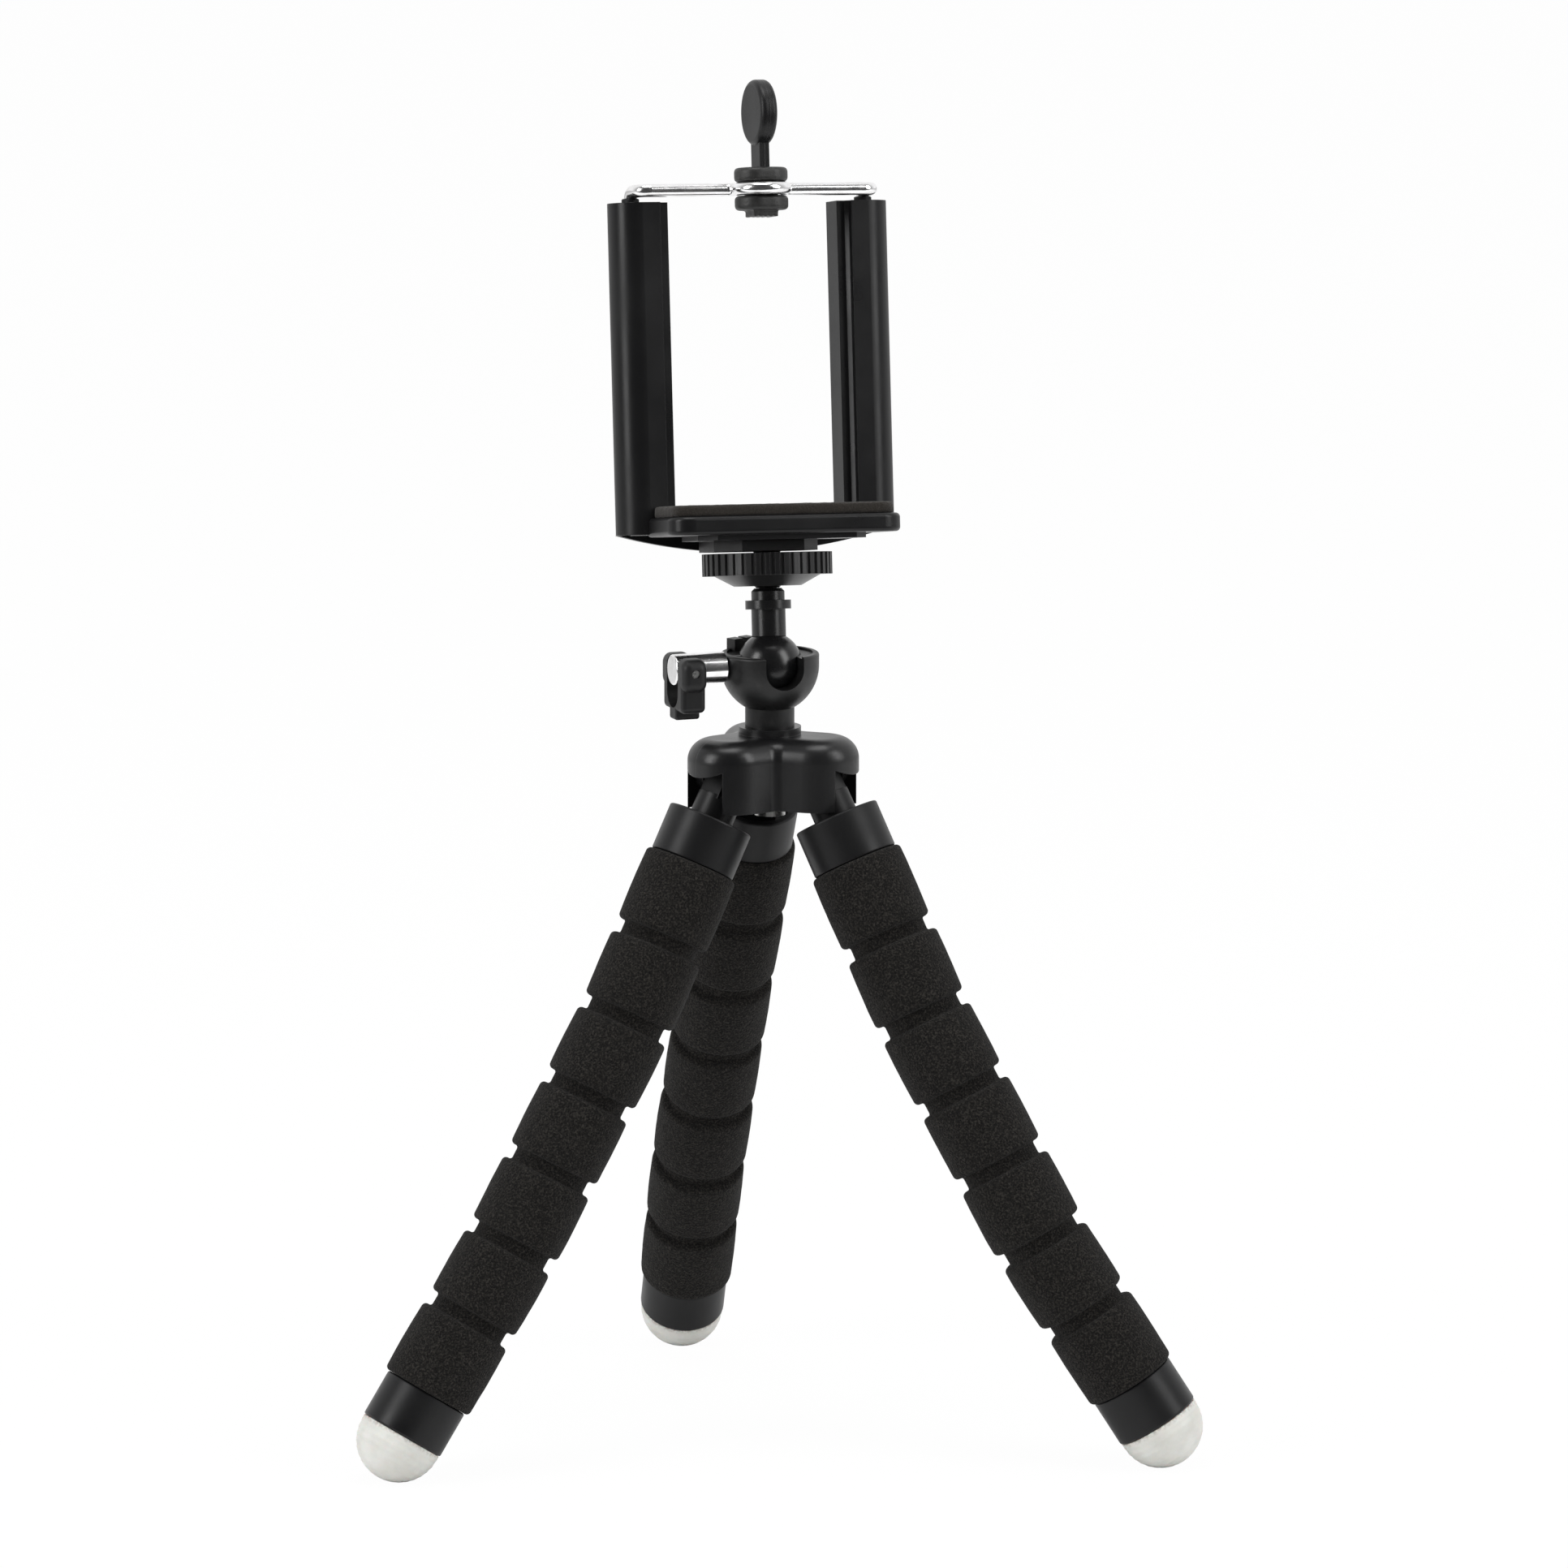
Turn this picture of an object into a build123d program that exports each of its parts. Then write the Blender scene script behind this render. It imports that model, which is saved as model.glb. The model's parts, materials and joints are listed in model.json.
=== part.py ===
from build123d import *
import math
import os

# Hub under the ball head, with three lobes that carry the legs
HINGE_RADIUS = 11.5
LOBE_RADIUS = 9.4
HUB_ABOVE_HINGE = 8.6
HUB_BELOW_HINGE = 7.4
HUB_SHOULDER = 5.0
HUB_DOME_RISE = 1.6
HUB_VALLEY = 2.5
FIRST_LEG_AZIMUTH = 98.0
HINGE_PIN_DIAMETER = 3.0
HINGE_PIN_LENGTH = 14.0
HUB_SCREW_DIAMETER = 4.0
HUB_SCREW_HEAD = 7.0
HUB_SCREW_HEAD_HEIGHT = 2.6
HUB_SCREW_KEY = 1.6
HUB_SCREW_KEY_DEPTH = 1.5
SCREW_TIP_ROOM = 0.5
POST_COLLAR_WIDTH = 1.5
POST_COLLAR_SUNK = 2.0

# Legs, each in three straight lengths with a bend between two of them
SECTION_TILTS = (27.0, 29.5, 33.0)
SECTION_AZIMUTHS = {
    "back": (108.0, 104.0, 99.0),
    "left": (211.0, 204.0, 203.0),
    "right": (331.0, 341.0, 354.0),
}
SWING_IN = 22.0
SWING_OUT = 30.0
BEND_RANGE = 25.0
REST_KINK = 5.0
NECK_DIAMETER = 10.0
NECK_SIDE_LEAN = 1.0
SWEEP_SPARE = 2.0
SWEEP_STEPS = 12
NECK_SHANK_START = 0.5
NECK_ROOM_START = 0.45
EYE_SLOT_GAP = 0.15
EYE_DIAMETER = 7.2
EYE_WIDTH = 7.0
COLLAR_DIAMETER = 19.5
COLLAR_LENGTH = 11.0
COLLAR_START = 10.6
COLLAR_WALL = 1.5
COLLAR_RECESS = 4.0
COLLAR_FLOOR = 1.8
COLLAR_ROUND = 0.5
FOAM_DIAMETER = 21.4
FOAM_GROOVE_DIAMETER = 17.6
FOAM_GROOVE_WIDTH = 3.5
FOAM_CORNER = 0.9
SEGMENT_PITCH = 18.9
SEGMENTS = (2, 3, 2)
CORE_DIAMETER = 5.0
CORE_START = 2.0
CORE_BALL_DIAMETER = 6.4
CORE_CUP_DIAMETER = 8.8
CORE_CUP_LENGTH = 5.0
CORE_CUP_LIP = 0.64
CORE_JOIN = 0.5
CORE_IN_FOOT = 2.9
FOOT_BORE = 3.0
FOOT_COLLAR_DIAMETER = 19.6
FOOT_COLLAR_LENGTH = 11.0
FOOT_DIAMETER = 19.2
FOOT_SHANK_LENGTH = 1.2
FOOT_FLAT = 0.4

# Ball head
POST_DIAMETER = 11.1
POST_HEIGHT = 4.4
CUP_DIAMETER = 22.2
CUP_RIM_ABOVE_BALL = 2.8
CUP_RIM_ROUND = 0.6
CUP_LIP = 1.4
CUP_LEDGE_DEPTH = 0.5
CUP_SLOT_WIDTH = 9.0
CUP_LUG_WIDTH = 6.2
CUP_LUG_THICKNESS = 2.6
CUP_LUG_INSET = 0.5
CUP_LUG_HEIGHT = 2.3
CUP_LUG_NOTCH = 1.0
CUP_LUG_AZIMUTH = 115.0
BALL_DIAMETER = 14.6
STEM_DIAMETER = 7.7
STEM_IN_BALL = 2.3
STEM_LENGTH = 5.1
RING_DIAMETER = 10.3
RING_HEIGHT = 2.0
STEM_NECK_DIAMETER = 7.5
STEM_NECK_HEIGHT = 2.7
STEM_NECK_CHAMFER = 0.7
STUD_SHOWN = 0.5
STUD_DIAMETER = 6.35
STUD_THREAD_PITCH = 1.27
STUD_THREAD_DEPTH = 0.6
THREAD_CREST_START = 0.45
THREAD_CREST_END = 0.6
STUD_SHANK_DIAMETER = 4.0
STUD_SHANK_LENGTH = 5.0
STUD_LENGTH = 14.5

# Clamp of the ball, along local -X
BARREL_LENGTH = 12.15
BARREL_DIAMETER = 7.0
BARREL_END_ROUND = 0.5
CLAMP_SCREW_DIAMETER = 5.0
CLAMP_PAD_LENGTH = 1.6
CLAMP_PAD_RIM = 1.0
BARREL_BLIND_WALL = 1.0
CLAMP_TRAVEL = 0.8
KNOB_WIDTH = 16.0
KNOB_ABOVE_PIN = 3.1
KNOB_WIDE_DROP = 4.5
KNOB_WIDE_ROUND = 2.4
KNOB_MIDDLE_WIDTH = 12.8
KNOB_MIDDLE_DROP = 9.2
KNOB_MIDDLE_ROUND = 1.3
KNOB_TAB_WIDTH = 4.4
KNOB_TAB_DROP = 11.2
KNOB_TAB_ROUND = 0.7
KNOB_WIDE_EDGE = 1.8
KNOB_MIDDLE_EDGE = 1.1
KNOB_TAB_EDGE = 0.6
KNOB_THICKNESS = 5.8
KNOB_SLOT_WIDTH = 7.3
KNOB_SLOT_DROP = 8.5
KNOB_PIN_DIAMETER = 1.8
KNOB_PIN_FROM_END = 3.0
KNOB_PIN_INSET = 0.4

# Locking wheel
WHEEL_DIAMETER = 29.3
WHEEL_BAND = 5.0
WHEEL_CONE_HEIGHT = 2.4
WHEEL_CONE_SMALL = 15.2
WHEEL_CONE_LARGE = 24.0
WHEEL_TEETH = 42
WHEEL_TOOTH_DEPTH = 0.55
WHEEL_LAND = 0.5
WHEEL_FLUTE_START = 0.62
WHEEL_FLUTE_END = 0.88
WHEEL_GAP = 0.4

# Phone holder
HEAD_YAW = 20.0
HEAD_LAID_BACK = 9.2
HEAD_SIDE_LEAN = 1.75
TRAY_WIDTH = 55.0
TRAY_FRONT = 16.5
TRAY_BACK = 6.5
TRAY_THICKNESS = 4.2
TRAY_STEP_HEIGHT = 1.2
TRAY_STEP_SIDE_INSET = 7.5
TRAY_STEP_INSET = 2.6
TRAY_STEP_CORNER = 3.5
TRAY_CORNER = 5.0
TRAY_EDGE_ROUND = 1.0
PAD_THICKNESS = 2.5
PAD_EDGE_ROUND = 0.7
PAD_MARGIN = 1.2
BOSS_WIDTH = 24.7
BOSS_DEPTH = 20.0
BOSS_HEIGHT = 2.5
BOSS_CORNER = 5.0
BOSS_SHIFT = -2.0
APRON_DROP = 3.7
APRON_SIDE_INSET = 1.5
APRON_THICKNESS = 2.0
INSERT_DIAMETER = 9.0
INSERT_LENGTH = 6.0
COLUMN_HEIGHT = 74.4
COLUMN_INSET = 0.6
COLUMN_OUTER_WIDTH = 66.0
COLUMN_DEPTH = 12.0
COLUMN_FLAT = 4.2
COLUMN_FLANGE = 2.6
COLUMN_FLANGE_SET_BACK = 2.6
COLUMN_BACK = 7.0
COLUMN_WALL = 1.3
COLUMN_TOP_WALL = 1.6

# Sprung wire bail and its jaw
WIRE_DIAMETER = 2.9
WIRE_FROM_SIDE = 5.2
WIRE_RISE = 2.5
WIRE_BEND = 2.2
WIRE_FORWARD = 7.0
WIRE_LOOP_WIDTH = 10.8
WIRE_LOOP_DEPTH = 8.0
WIRE_LOOP_STRAIGHT = 0.2
WIRE_TAIL = 51.0
SPRING_MEAN_DIAMETER = 5.1
SPRING_WIRE = 0.7
SPRING_TURNS = 12
WASHER_DIAMETER = 5.8
WASHER_THICKNESS = 1.2
WASHER_FROM_END = 1.0
BAIL_TRAVEL = 22.0
GRIP_WIDTH = 12.2
GRIP_DEPTH = 9.6
GRIP_PAD_HEIGHT = 3.3
GRIP_PAD_ROUND = 1.0
GRIP_OVERLAP = 0.5
GRIP_NIB_WIDTH = 5.8
GRIP_NIB_DEPTH = 6.0
GRIP_NIB_HEIGHT = 1.5
GRIP_NIB_TEETH = 5
TAB_BAR_THICKNESS = 2.3
TAB_BAR_DEPTH = 5.6
TAB_BAR_HEIGHT = 4.9
TAB_TENON = 2.0
PADDLE_DIAMETER = 14.8
PADDLE_THICKNESS = 4.0
PADDLE_ROUND = 1.2
PADDLE_SUNK = 1.0

# Clearances
RUNNING_GAP = 0.05
SEAT_GAP = 0.05
SOFT_GAP = 0.25
MOVING_GAP = 0.35

# How far a cutting shape runs past what it cuts, and one block into the next
OVERRUN = 1.0

# Places along a leg, measured from its hinge
COLLAR_END = COLLAR_START + COLLAR_LENGTH
BEND_ONE = COLLAR_END + SEGMENTS[0] * SEGMENT_PITCH
BEND_TWO = BEND_ONE + SEGMENTS[1] * SEGMENT_PITCH
FOAM_END = BEND_TWO + SEGMENTS[2] * SEGMENT_PITCH
FOOT_COLLAR_END = FOAM_END + FOOT_COLLAR_LENGTH
FOOT_CENTRE = FOOT_COLLAR_END + FOOT_SHANK_LENGTH
SECTION_LENGTHS = (BEND_ONE, BEND_TWO - BEND_ONE, FOOT_CENTRE - BEND_TWO)

# Heights, worked out from the ground up
LEG_DROP = sum(
    length * math.cos(math.radians(tilt))
    for length, tilt in zip(SECTION_LENGTHS, SECTION_TILTS)
)
HINGE_Z = LEG_DROP + FOOT_DIAMETER / 2 - FOOT_FLAT
HUB_TOP = HINGE_Z + HUB_ABOVE_HINGE
HUB_BOTTOM = HINGE_Z - HUB_BELOW_HINGE
POST_FOOT = HUB_TOP + HUB_DOME_RISE
CUP_BOTTOM = POST_FOOT + POST_HEIGHT
BALL_Z = CUP_BOTTOM + math.sqrt((CUP_DIAMETER / 2) ** 2 - (POST_DIAMETER / 2) ** 2)
CUP_RIM = BALL_Z + CUP_RIM_ABOVE_BALL
STEM_FOOT = BALL_Z + BALL_DIAMETER / 2
RING_FOOT = STEM_FOOT + STEM_LENGTH
RING_TOP = RING_FOOT + RING_HEIGHT
STEM_TOP = RING_TOP + STEM_NECK_HEIGHT
WHEEL_FOOT = STEM_TOP + STUD_SHOWN
WHEEL_BAND_FOOT = WHEEL_FOOT + WHEEL_CONE_HEIGHT
WHEEL_TOP = WHEEL_BAND_FOOT + WHEEL_BAND
BOSS_FOOT = WHEEL_TOP + WHEEL_GAP
TRAY_STEP_FOOT = BOSS_FOOT + BOSS_HEIGHT
TRAY_FOOT = TRAY_STEP_FOOT + TRAY_STEP_HEIGHT
TRAY_TOP = TRAY_FOOT + TRAY_THICKNESS
COLUMN_FOOT = TRAY_FOOT + COLUMN_INSET
COLUMN_TOP = COLUMN_FOOT + COLUMN_HEIGHT
WIRE_TOP = COLUMN_TOP + WIRE_RISE
WIRE_END = COLUMN_TOP - WIRE_TAIL
BAR_BACK = COLUMN_BACK - WIRE_FORWARD
GRIP_BACK = BAR_BACK - WIRE_LOOP_DEPTH + WIRE_LOOP_WIDTH / 2
WIRE_SPACING = COLUMN_OUTER_WIDTH - 2 * WIRE_FROM_SIDE
BARREL_FOOT = CUP_DIAMETER / 2 + SEAT_GAP
CLAMP_REACH = BARREL_FOOT + BARREL_LENGTH
KNOB_PIN_X = -(CLAMP_REACH - KNOB_PIN_FROM_END)


def upright(radius, low, high):
    """Cylinder on the Z axis between two heights."""
    return Pos(0, 0, low) * Cylinder(radius, high - low, align=(Align.CENTER, Align.CENTER, Align.MIN))


def along_x(radius, start, end, z):
    """Cylinder along X between two places, at a height."""
    lying = Rot(0, 90, 0) * upright(radius, start, end)
    return Pos(0, 0, z) * lying


def along_y(radius, length, x, z):
    """Cylinder along Y, centred on the XZ plane."""
    return Pos(x, 0, z) * (Rot(90, 0, 0) * Cylinder(radius, length))


def block(x0, x1, y0, y1, z0, z1):
    """Box between two corners."""
    return Pos((x0 + x1) / 2, (y0 + y1) / 2, (z0 + z1) / 2) * Box(x1 - x0, y1 - y0, z1 - z0)


def rounded_ends(radius, start, end, corner):
    """Cylinder on the Z axis with both rims rounded."""
    body = upright(radius, start, end)
    return fillet(body.edges().filter_by(GeomType.CIRCLE), corner)


# Hub

def lobe_azimuths():
    """Azimuth of each lobe, by leg name."""
    names = ("back", "left", "right")
    return {name: FIRST_LEG_AZIMUTH + 120 * index for index, name in enumerate(names)}


def hub_block():
    """Three rounded lobes with a hollow valley between each two, and a round top shoulder."""
    outline = Circle(LOBE_RADIUS)
    for azimuth in lobe_azimuths().values():
        arm = Pos(HINGE_RADIUS / 2, 0) * Rectangle(HINGE_RADIUS, 2 * LOBE_RADIUS)
        outline = outline + Rot(0, 0, azimuth) * (arm + Pos(HINGE_RADIUS, 0) * Circle(LOBE_RADIUS))
    valleys = [corner for corner in outline.vertices() if corner.center().length < HINGE_RADIUS]
    outline = fillet(valleys, HUB_VALLEY)
    block_shape = Pos(0, 0, HUB_BOTTOM) * extrude(outline, HUB_TOP - HUB_BOTTOM)
    return fillet(block_shape.faces().sort_by(Axis.Z)[-1].edges(), HUB_SHOULDER)


def swing_sector(lean_in, lean_out, half, reach):
    """Face in the lobe's upright plane that a bar of a given half width sweeps about the hinge."""
    sweep_face = None
    for step in range(SWEEP_STEPS + 1):
        lean = lean_in + (lean_out - lean_in) * step / SWEEP_STEPS
        bar = Pos(0, -reach / 2) * Rectangle(2 * half, reach)
        bar = Rot(0, 0, lean) * bar
        sweep_face = bar if sweep_face is None else sweep_face + bar
    return sweep_face


def neck_sweep():
    """Room for one neck and its collar over the whole swing, for the lobe along +X."""
    lean_in = SECTION_TILTS[0] - SWING_IN - SWEEP_SPARE
    lean_out = SECTION_TILTS[0] + SWING_OUT + SWEEP_SPARE
    half = NECK_DIAMETER / 2 + MOVING_GAP
    sector = swing_sector(lean_in, lean_out, half, 4 * COLLAR_START)
    room_start = COLLAR_START * NECK_ROOM_START
    neck_face = sector - Circle(room_start)
    neck_room = extrude(Plane.XZ * neck_face, half + NECK_SIDE_LEAN, both=True)
    eye_face = (sector & Circle(room_start + OVERRUN)) + Circle(EYE_DIAMETER / 2 + MOVING_GAP)
    eye_slot = extrude(Plane.XZ * eye_face, EYE_WIDTH / 2 + EYE_SLOT_GAP, both=True)
    quarter = Pos(COLLAR_DIAMETER, -COLLAR_DIAMETER) * Rectangle(2 * COLLAR_DIAMETER, 2 * COLLAR_DIAMETER)
    collar_face = quarter - Circle(COLLAR_START - MOVING_GAP)
    collar_room = extrude(Plane.XZ * collar_face, COLLAR_DIAMETER / 2 + NECK_SIDE_LEAN, both=True)
    return [Pos(HINGE_RADIUS, 0, HINGE_Z) * room for room in (neck_room, eye_slot, collar_room)]


def hinge_pin(diameter, length):
    """Hinge pin of the lobe along +X."""
    return along_y(diameter / 2, length, HINGE_RADIUS, HINGE_Z)


def make_hub():
    post_collar = upright(POST_DIAMETER / 2 + POST_COLLAR_WIDTH, HUB_TOP - POST_COLLAR_SUNK, POST_FOOT)
    hub = hub_block() + post_collar
    for azimuth in lobe_azimuths().values():
        for room in neck_sweep():
            hub = hub - Rot(0, 0, azimuth) * room
        pin_room = hinge_pin(HINGE_PIN_DIAMETER + 2 * SEAT_GAP, HINGE_PIN_LENGTH + 2 * SEAT_GAP)
        hub = hub - Rot(0, 0, azimuth) * pin_room
    screw_hole = upright(HUB_SCREW_DIAMETER / 2 + SEAT_GAP, HUB_BOTTOM - OVERRUN, POST_FOOT + OVERRUN)
    return hub - screw_hole


def make_hinge_pins():
    back, left, right = [Rot(0, 0, azimuth) * hinge_pin(HINGE_PIN_DIAMETER, HINGE_PIN_LENGTH)
                         for azimuth in lobe_azimuths().values()]
    return back + left + right


def make_socket_screw():
    shank = upright(HUB_SCREW_DIAMETER / 2, HUB_BOTTOM, CUP_BOTTOM - SCREW_TIP_ROOM)
    head = upright(HUB_SCREW_HEAD / 2, HUB_BOTTOM - HUB_SCREW_HEAD_HEIGHT, HUB_BOTTOM)
    key = extrude(RegularPolygon(HUB_SCREW_KEY, 6), HUB_SCREW_KEY_DEPTH)
    key = Pos(0, 0, HUB_BOTTOM - HUB_SCREW_HEAD_HEIGHT) * key
    return shank + head - key


# Ball head, drawn with the clamp along -X and the rim slot along -Y

def cup_lug():
    """Small notched block behind the cup's rim."""
    outer = CUP_DIAMETER / 2 - CUP_LUG_INSET
    inner = outer - CUP_LUG_THICKNESS
    half = CUP_LUG_WIDTH / 2
    top = CUP_RIM + CUP_LUG_HEIGHT
    lug = block(inner, outer, -half, half, CUP_RIM - CUP_LUG_HEIGHT, top)
    notch = block(inner - OVERRUN, outer + OVERRUN, -CUP_LUG_NOTCH / 2, CUP_LUG_NOTCH / 2,
                  top - CUP_LUG_NOTCH / 2, top + OVERRUN)
    return Rot(0, 0, CUP_LUG_AZIMUTH) * (lug - notch)


def make_ball_socket():
    """Half round bowl on a post, with a short upright rim, a ledge inside it and a U slot."""
    rim = upright(CUP_DIAMETER / 2, BALL_Z, CUP_RIM)
    rim = fillet(rim.edges().filter_by(GeomType.CIRCLE).sort_by(Axis.Z)[-1], CUP_RIM_ROUND)
    bowl = Pos(0, 0, BALL_Z) * Sphere(CUP_DIAMETER / 2)
    bowl = bowl & upright(CUP_DIAMETER, BALL_Z - CUP_DIAMETER, BALL_Z)
    cup = bowl + rim
    cup = cup - upright(CUP_DIAMETER / 2 - CUP_LIP, CUP_RIM - CUP_LEDGE_DEPTH, CUP_RIM + OVERRUN)
    cup = cup + cup_lug()
    cup = cup + upright(POST_DIAMETER / 2, POST_FOOT, CUP_BOTTOM + OVERRUN)
    cup = cup - Pos(0, 0, BALL_Z) * Sphere(BALL_DIAMETER / 2 + RUNNING_GAP)
    slot_top = CUP_RIM + 2 * CUP_LUG_HEIGHT
    slot = block(-CUP_SLOT_WIDTH / 2, CUP_SLOT_WIDTH / 2, -CUP_DIAMETER, 0, BALL_Z, slot_top)
    slot_round = Rot(90, 0, 0) * Cylinder(CUP_SLOT_WIDTH / 2, CUP_DIAMETER)
    slot = slot + Pos(0, -CUP_DIAMETER / 2, BALL_Z) * slot_round
    cup = cup - slot
    cup = cup - along_x(CLAMP_SCREW_DIAMETER / 2 + RUNNING_GAP, -CUP_DIAMETER, 0, BALL_Z)
    screw_end = CUP_BOTTOM - SCREW_TIP_ROOM + 2 * SEAT_GAP
    return cup - upright(HUB_SCREW_DIAMETER / 2 + SEAT_GAP, POST_FOOT - OVERRUN, screw_end)


def make_ball():
    return Pos(0, 0, BALL_Z) * Sphere(BALL_DIAMETER / 2)


def make_stem():
    stem = upright(STEM_DIAMETER / 2, STEM_FOOT - STEM_IN_BALL, RING_FOOT)
    stem = stem + upright(RING_DIAMETER / 2, RING_FOOT, RING_TOP)
    neck = upright(STEM_NECK_DIAMETER / 2, RING_TOP, STEM_TOP)
    stem = stem + chamfer(neck.edges().filter_by(GeomType.CIRCLE).sort_by(Axis.Z)[-1], STEM_NECK_CHAMFER)
    stem = stem - Pos(0, 0, BALL_Z) * Sphere(BALL_DIAMETER / 2 + RUNNING_GAP)
    shank_foot = STEM_TOP - STUD_SHANK_LENGTH - 2 * SEAT_GAP
    return stem - upright(STUD_SHANK_DIAMETER / 2 + SEAT_GAP, shank_foot, STEM_TOP + OVERRUN)


def make_stud():
    turns = int(STUD_LENGTH / STUD_THREAD_PITCH)
    core = STUD_DIAMETER / 2 - STUD_THREAD_DEPTH
    points = [(0, 0), (core, 0)]
    for turn in range(turns):
        foot = turn * STUD_THREAD_PITCH
        points.append((STUD_DIAMETER / 2, foot + STUD_THREAD_PITCH * THREAD_CREST_START))
        points.append((STUD_DIAMETER / 2, foot + STUD_THREAD_PITCH * THREAD_CREST_END))
        points.append((core, foot + STUD_THREAD_PITCH))
    points.append((0, turns * STUD_THREAD_PITCH))
    profile = make_face(Polyline(*points, close=True))
    thread = Pos(0, 0, STEM_TOP + SEAT_GAP) * revolve(Plane.XZ * profile, Axis.Z)
    return thread + upright(STUD_SHANK_DIAMETER / 2, STEM_TOP - STUD_SHANK_LENGTH, STEM_TOP + OVERRUN)


def make_clamp_pad():
    foot = BALL_DIAMETER / 2 + RUNNING_GAP
    pad = along_x(CLAMP_SCREW_DIAMETER / 2, -foot - CLAMP_PAD_LENGTH, -foot + CLAMP_PAD_RIM, BALL_Z)
    return pad - Pos(0, 0, BALL_Z) * Sphere(foot)


def make_clamp_screw():
    foot = BALL_DIAMETER / 2 + RUNNING_GAP + CLAMP_PAD_LENGTH + SEAT_GAP
    head = KNOB_PIN_X + KNOB_PIN_DIAMETER / 2 + BARREL_BLIND_WALL
    return along_x(CLAMP_SCREW_DIAMETER / 2, head, -foot, BALL_Z)


def make_clamp_barrel():
    barrel = along_x(BARREL_DIAMETER / 2, -CLAMP_REACH, -BARREL_FOOT, BALL_Z)
    end_rim = barrel.edges().filter_by(GeomType.CIRCLE).sort_by(Axis.X)[0]
    barrel = fillet(end_rim, BARREL_END_ROUND)
    bore_end = KNOB_PIN_X + KNOB_PIN_DIAMETER / 2 + BARREL_BLIND_WALL - 2 * SEAT_GAP
    barrel = barrel - along_x(CLAMP_SCREW_DIAMETER / 2 + SEAT_GAP, bore_end, 0, BALL_Z)
    return barrel - along_y(KNOB_PIN_DIAMETER / 2 + SEAT_GAP, KNOB_WIDTH, KNOB_PIN_X, BALL_Z)


def make_knob_pin():
    return along_y(KNOB_PIN_DIAMETER / 2, KNOB_WIDTH - 2 * KNOB_PIN_INSET, KNOB_PIN_X, BALL_Z)


def knob_bar(width, low, high, corner, edge):
    """Rounded bar of the knob, between two heights from its pin, as thick as the knob."""
    outline = Pos(0, (low + high) / 2) * RectangleRounded(width, high - low, corner)
    bar = extrude(Plane.YZ * outline, KNOB_THICKNESS)
    return fillet(bar.faces().filter_by(Axis.X).edges(), edge)


def make_clamp_knob():
    """Stepped plate with a U slot that straddles the barrel's end."""
    body = knob_bar(KNOB_WIDTH, -KNOB_WIDE_DROP, KNOB_ABOVE_PIN, KNOB_WIDE_ROUND, KNOB_WIDE_EDGE)
    middle = knob_bar(KNOB_MIDDLE_WIDTH, -KNOB_MIDDLE_DROP, 0, KNOB_MIDDLE_ROUND, KNOB_MIDDLE_EDGE)
    tab = knob_bar(KNOB_TAB_WIDTH, -KNOB_TAB_DROP, -KNOB_WIDE_DROP, KNOB_TAB_ROUND, KNOB_TAB_EDGE)
    body = body + middle + tab
    x_start = KNOB_PIN_X - KNOB_THICKNESS / 2
    body = Pos(x_start, 0, BALL_Z) * body
    slot_floor = BALL_Z - KNOB_SLOT_DROP + KNOB_SLOT_WIDTH / 2
    half = KNOB_SLOT_WIDTH / 2
    slot_start = x_start - OVERRUN
    slot_end = x_start + KNOB_THICKNESS + OVERRUN
    slot = block(slot_start, slot_end, -half, half, slot_floor, BALL_Z + 2 * KNOB_ABOVE_PIN)
    slot = slot + along_x(half, slot_start, slot_end, slot_floor)
    body = body - slot
    return body - along_y(KNOB_PIN_DIAMETER / 2 + RUNNING_GAP, 2 * KNOB_WIDTH, KNOB_PIN_X, BALL_Z)


def make_wheel():
    points = []
    for tooth in range(WHEEL_TEETH):
        for share, depth in ((0, 0), (WHEEL_LAND, 0), (WHEEL_FLUTE_START, WHEEL_TOOTH_DEPTH),
                             (WHEEL_FLUTE_END, WHEEL_TOOTH_DEPTH)):
            angle = 2 * math.pi * (tooth + share) / WHEEL_TEETH
            reach = WHEEL_DIAMETER / 2 - depth
            points.append((reach * math.cos(angle), reach * math.sin(angle)))
    band = Pos(0, 0, WHEEL_BAND_FOOT) * extrude(make_face(Polyline(*points, close=True)), WHEEL_BAND)
    cone = Cone(WHEEL_CONE_SMALL / 2, WHEEL_CONE_LARGE / 2, WHEEL_CONE_HEIGHT,
                align=(Align.CENTER, Align.CENTER, Align.MIN))
    wheel = band + Pos(0, 0, WHEEL_FOOT) * cone
    return wheel - upright(STUD_DIAMETER / 2 + RUNNING_GAP, WHEEL_FOOT - OVERRUN, WHEEL_TOP + OVERRUN)


# Phone holder, drawn with the phone's face along -Y

def column_outline(grow=0.0):
    """Section of the right column: round outside, flat front, set-back inner flange."""
    radius = COLUMN_DEPTH / 2
    arc_centre = COLUMN_OUTER_WIDTH / 2 - radius
    flat = Rectangle(COLUMN_FLAT + 2 * grow, COLUMN_DEPTH + 2 * grow)
    flat = Pos(arc_centre - COLUMN_FLAT / 2, COLUMN_BACK) * flat
    flange_depth = COLUMN_DEPTH - 2 * COLUMN_FLANGE_SET_BACK
    flange_x = arc_centre - COLUMN_FLAT - COLUMN_FLANGE / 2
    flange = Pos(flange_x, COLUMN_BACK) * Rectangle(COLUMN_FLANGE + 2 * grow, flange_depth + 2 * grow)
    return flat + flange + Pos(arc_centre, COLUMN_BACK) * Circle(radius + grow)


def wire_places():
    return (-WIRE_SPACING / 2, WIRE_SPACING / 2)


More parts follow.
